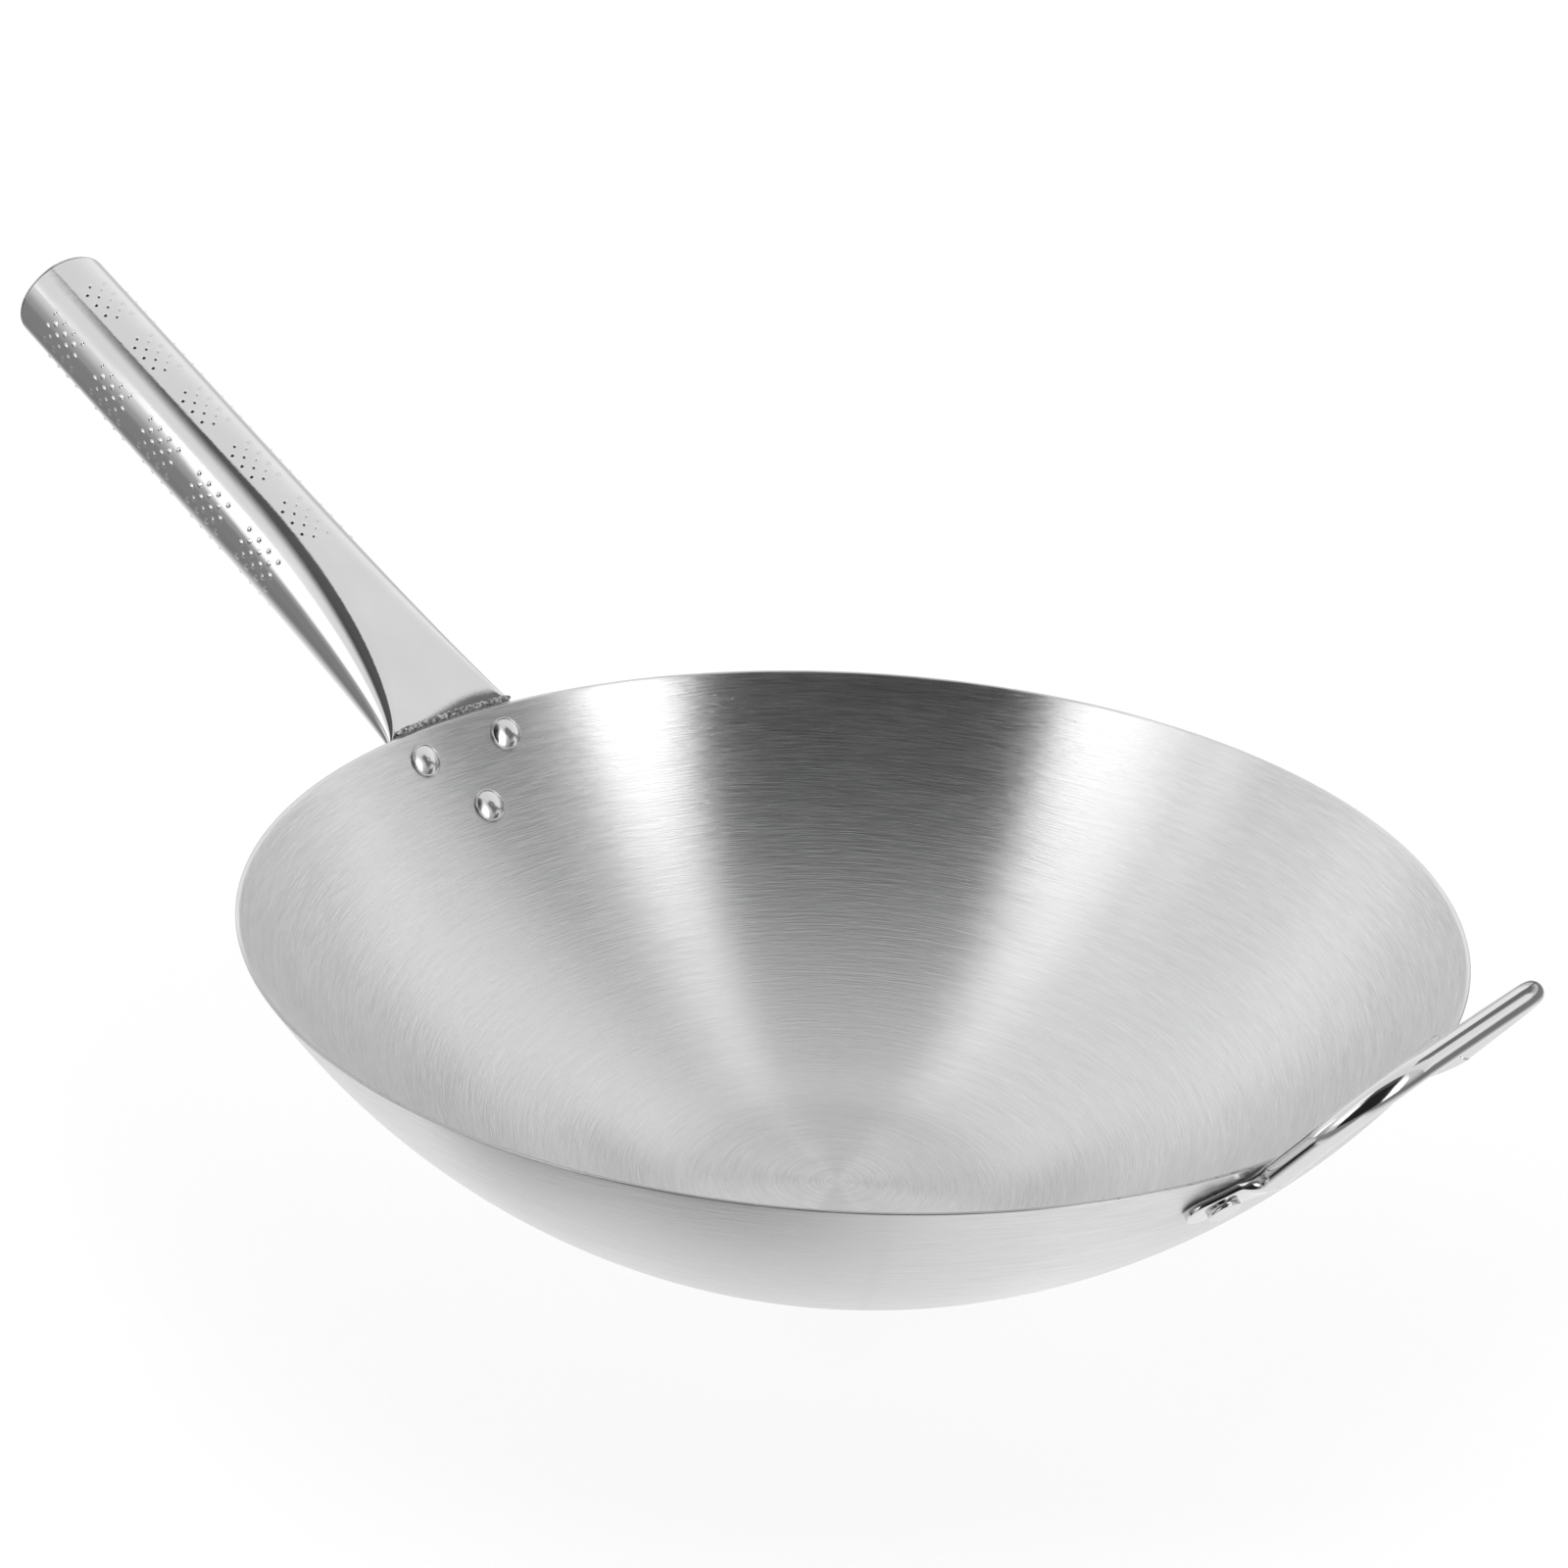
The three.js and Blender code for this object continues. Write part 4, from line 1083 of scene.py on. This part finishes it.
def helper_shades(tree, place, ahead, aside):
    """Two small dark shades by the helper: a round one by its foot, and a strip along its leg."""
    foot_shade = ramp(tree, vector_maths(tree, "DISTANCE", place, FOOT_SHADE), *FOOT_SHADE_FADE)
    off_strip = maths(tree, "ABSOLUTE", maths(tree, "SUBTRACT", ahead, LEG_SHADE))
    strip_ends = [ramp(tree, aside, *levels) for levels in LEG_SHADE_ENDS]
    return product(tree, foot_shade, largest(tree, ramp(tree, off_strip, *LEG_SHADE_FADE), *strip_ends))


def mirrored_floor(tree, place):
    """Level of the floor in the metal: white under the wok, ending at a slanting edge at the left, where the
    studio's floor is dark, and fading at the right."""
    ahead, aside = [vector_maths(tree, "DOT_PRODUCT", place, side) for side in (FRONT, RIGHT)]
    slant = maths(tree, "MULTIPLY_ADD", ahead, EDGE_SLANT, aside)
    beyond = maths(tree, "ADD", ramp(tree, slant, *PAST_LEFT_EDGE), ramp(tree, aside, *FAR_LEFT))
    under = ramp(tree, vector_maths(tree, "LENGTH", place), *UNDER_WOK)
    left = largest(tree, ramp(tree, slant, *LEFT_EDGE), beyond, under)
    return maths(tree, "MINIMUM", product(tree, left, helper_shades(tree, place, ahead, aside)),
                 ramp(tree, aside, *RIGHT_FADE))


# %% The floor's finish
FLOOR_PALE = grey(0.8)
SEEN_GREY = grey(0.42)
SEEN_GLOW = 0.74


def bare_sheet(name):
    """A material with no shader: the material, its tree, the object's coordinates and its output's socket."""
    material = bpy.data.materials.new(name)
    material.use_nodes = True
    tree = material.node_tree
    tree.nodes.clear()
    place = tree.nodes.new("ShaderNodeTexCoord").outputs["Object"]
    return material, tree, place, tree.nodes.new("ShaderNodeOutputMaterial").inputs["Surface"]


def glow(tree, strength):
    """White light of a strength."""
    return add_node(tree, "ShaderNodeEmission", {"Color": grey(1), "Strength": strength}).outputs[0]


def mixed(tree, share, first, second):
    """Mixes two shaders by a share."""
    return add_node(tree, "ShaderNodeMixShader", {0: share, 1: first, 2: second}).outputs[0]


def floor_finish():
    """Pale matt sheet. The camera sees part of its light and part of its own glow, and the metal sees only
    the level that is painted for it."""
    material, tree, place, surface = bare_sheet("pale_floor")
    plain, shaded = [add_node(tree, "ShaderNodeBsdfDiffuse", {"Color": colour}).outputs[0]
                     for colour in (FLOOR_PALE, SEEN_GREY)]
    seen = add_node(tree, "ShaderNodeAddShader", {0: shaded, 1: glow(tree, SEEN_GLOW)}).outputs[0]
    rays = tree.nodes.new("ShaderNodeLightPath").outputs
    to_wok = mixed(tree, rays["Is Glossy Ray"], plain, glow(tree, mirrored_floor(tree, place)))
    tree.links.new(mixed(tree, rays["Is Camera Ray"], to_wok, seen), surface)
    return material


floor_mesh.materials.append(floor_finish())
print("the floor wears", floor_mesh.materials[0].name)

# %% [markdown]
# A photographer sets a dark card beside shiny things, just out of the picture, so that they get a dark
# line to show their shape. This one stands at the right. It draws the dark smears on the rivets and the
# dark edge of the helper. Only reflections see it, and its edges fade, so that they draw no hard line.

# %% Card helpers
def upright_card(name, aside, middle, half):
    """A card that stands at a distance aside, and that only reflections see. Its middle and its half size are
    given as how far ahead and how far up."""
    ahead, up = (SQUARE * half + middle).T
    mesh = bpy.data.meshes.new(name)
    mesh.from_pydata(np.outer(ahead, FRONT) + aside * RIGHT + np.outer(up, [0, 0, 1]), [], [[0, 1, 2, 3]])
    made = bpy.data.objects.new(name, mesh)
    bpy.context.scene.collection.objects.link(made)
    made.visible_camera = False
    made.visible_diffuse = False
    made.visible_shadow = False
    print(f"{name}: {2 * half[0]:.2f} by {2 * half[1]:.2f} m")
    return made


def panel(tree, ahead, up, half, edge):
    """Share of a panel that fades to nothing over the width of its edges, ahead and up."""
    return product(tree, *[
        ramp(tree, maths(tree, "ABSOLUTE", offset), size - fade, size, 1.0, 0.0)
        for offset, size, fade in zip((ahead, up), half, edge)])


def card_finish(name, aside, middle, shape, strength):
    """A card that glows with a strength where its shape is, and is clear elsewhere. The shape is a function
    that gives its share from how far ahead and how far up a place is from the middle."""
    material, tree, place, surface = bare_sheet(name)
    offset = vector_maths(tree, "SUBTRACT", place, middle[0] * FRONT + aside * RIGHT + [0, 0, middle[1]])
    ahead, up = [vector_maths(tree, "DOT_PRODUCT", offset, way) for way in (FRONT, (0, 0, 1))]
    clear = add_node(tree, "ShaderNodeBsdfTransparent", {"Color": grey(1)}).outputs[0]
    tree.links.new(mixed(tree, shape(tree, ahead, up), clear, glow(tree, strength)), surface)
    return material


# %% The dark card
CARD_ASIDE = 0.30
CARD_MIDDLE = (-0.15, 0.28)
CARD_HALF = (0.24, 0.30)
CARD_GLOW = 0.18
BOARD_MIDDLE = (-0.075, 0.33)
BOARD_HALF = (0.11, 0.22)
BOARD_EDGE = (0.04, 0.08)
CARD_FOOT_LEAN = 0.77
CARD_FOOT_FADE = (0.015, 0.055, 1.0, 0.0)
CARD_FOOT_TOP = (-0.05, 0.02, 1.0, 0.0)


def board_and_foot(tree, ahead, up):
    """Share of the dark card: an upright board, and a slanting foot that runs back and down from the board's
    middle, along ahead = lean x up."""
    beside = maths(tree, "ABSOLUTE", maths(tree, "MULTIPLY_ADD", up, -CARD_FOOT_LEAN, ahead))
    slanting = product(tree, ramp(tree, beside, *CARD_FOOT_FADE), ramp(tree, up, *CARD_FOOT_TOP))
    return largest(tree, panel(tree, ahead, up, BOARD_HALF, BOARD_EDGE), slanting)


card = upright_card("dark_card", CARD_ASIDE, CARD_MIDDLE, CARD_HALF)
card.data.materials.append(card_finish("dark_card", CARD_ASIDE, BOARD_MIDDLE, board_and_foot, CARD_GLOW))

# %% [markdown]
# The opposite also helps: a narrow lit card at the left whitens the side of the tube where it is pinched.
# It is near, so the far end of the tube sees less of it. It is clear at its edges too, and only
# reflections see it.

# %% The lit card
LIT_ASIDE = -0.60
LIT_MIDDLE = (0.005, 0.27)
LIT_HALF = (0.085, 0.21)
LIT_EDGE = (0.045, 0.07)
LIT_GLOW = 1.5


def lit_panel(tree, ahead, up):
    """Share of the lit card: one panel that fades at its edges."""
    return panel(tree, ahead, up, LIT_HALF, LIT_EDGE)


lit_card = upright_card("lit_card", LIT_ASIDE, LIT_MIDDLE, LIT_HALF)
lit_card.data.materials.append(card_finish("lit_card", LIT_ASIDE, LIT_MIDDLE, lit_panel, LIT_GLOW))

# %% [markdown]
# Standard colour keeps white at white.

# %% Colour view and finish
bpy.context.scene.view_settings.view_transform = "Standard"
bpy.context.view_layer.update()
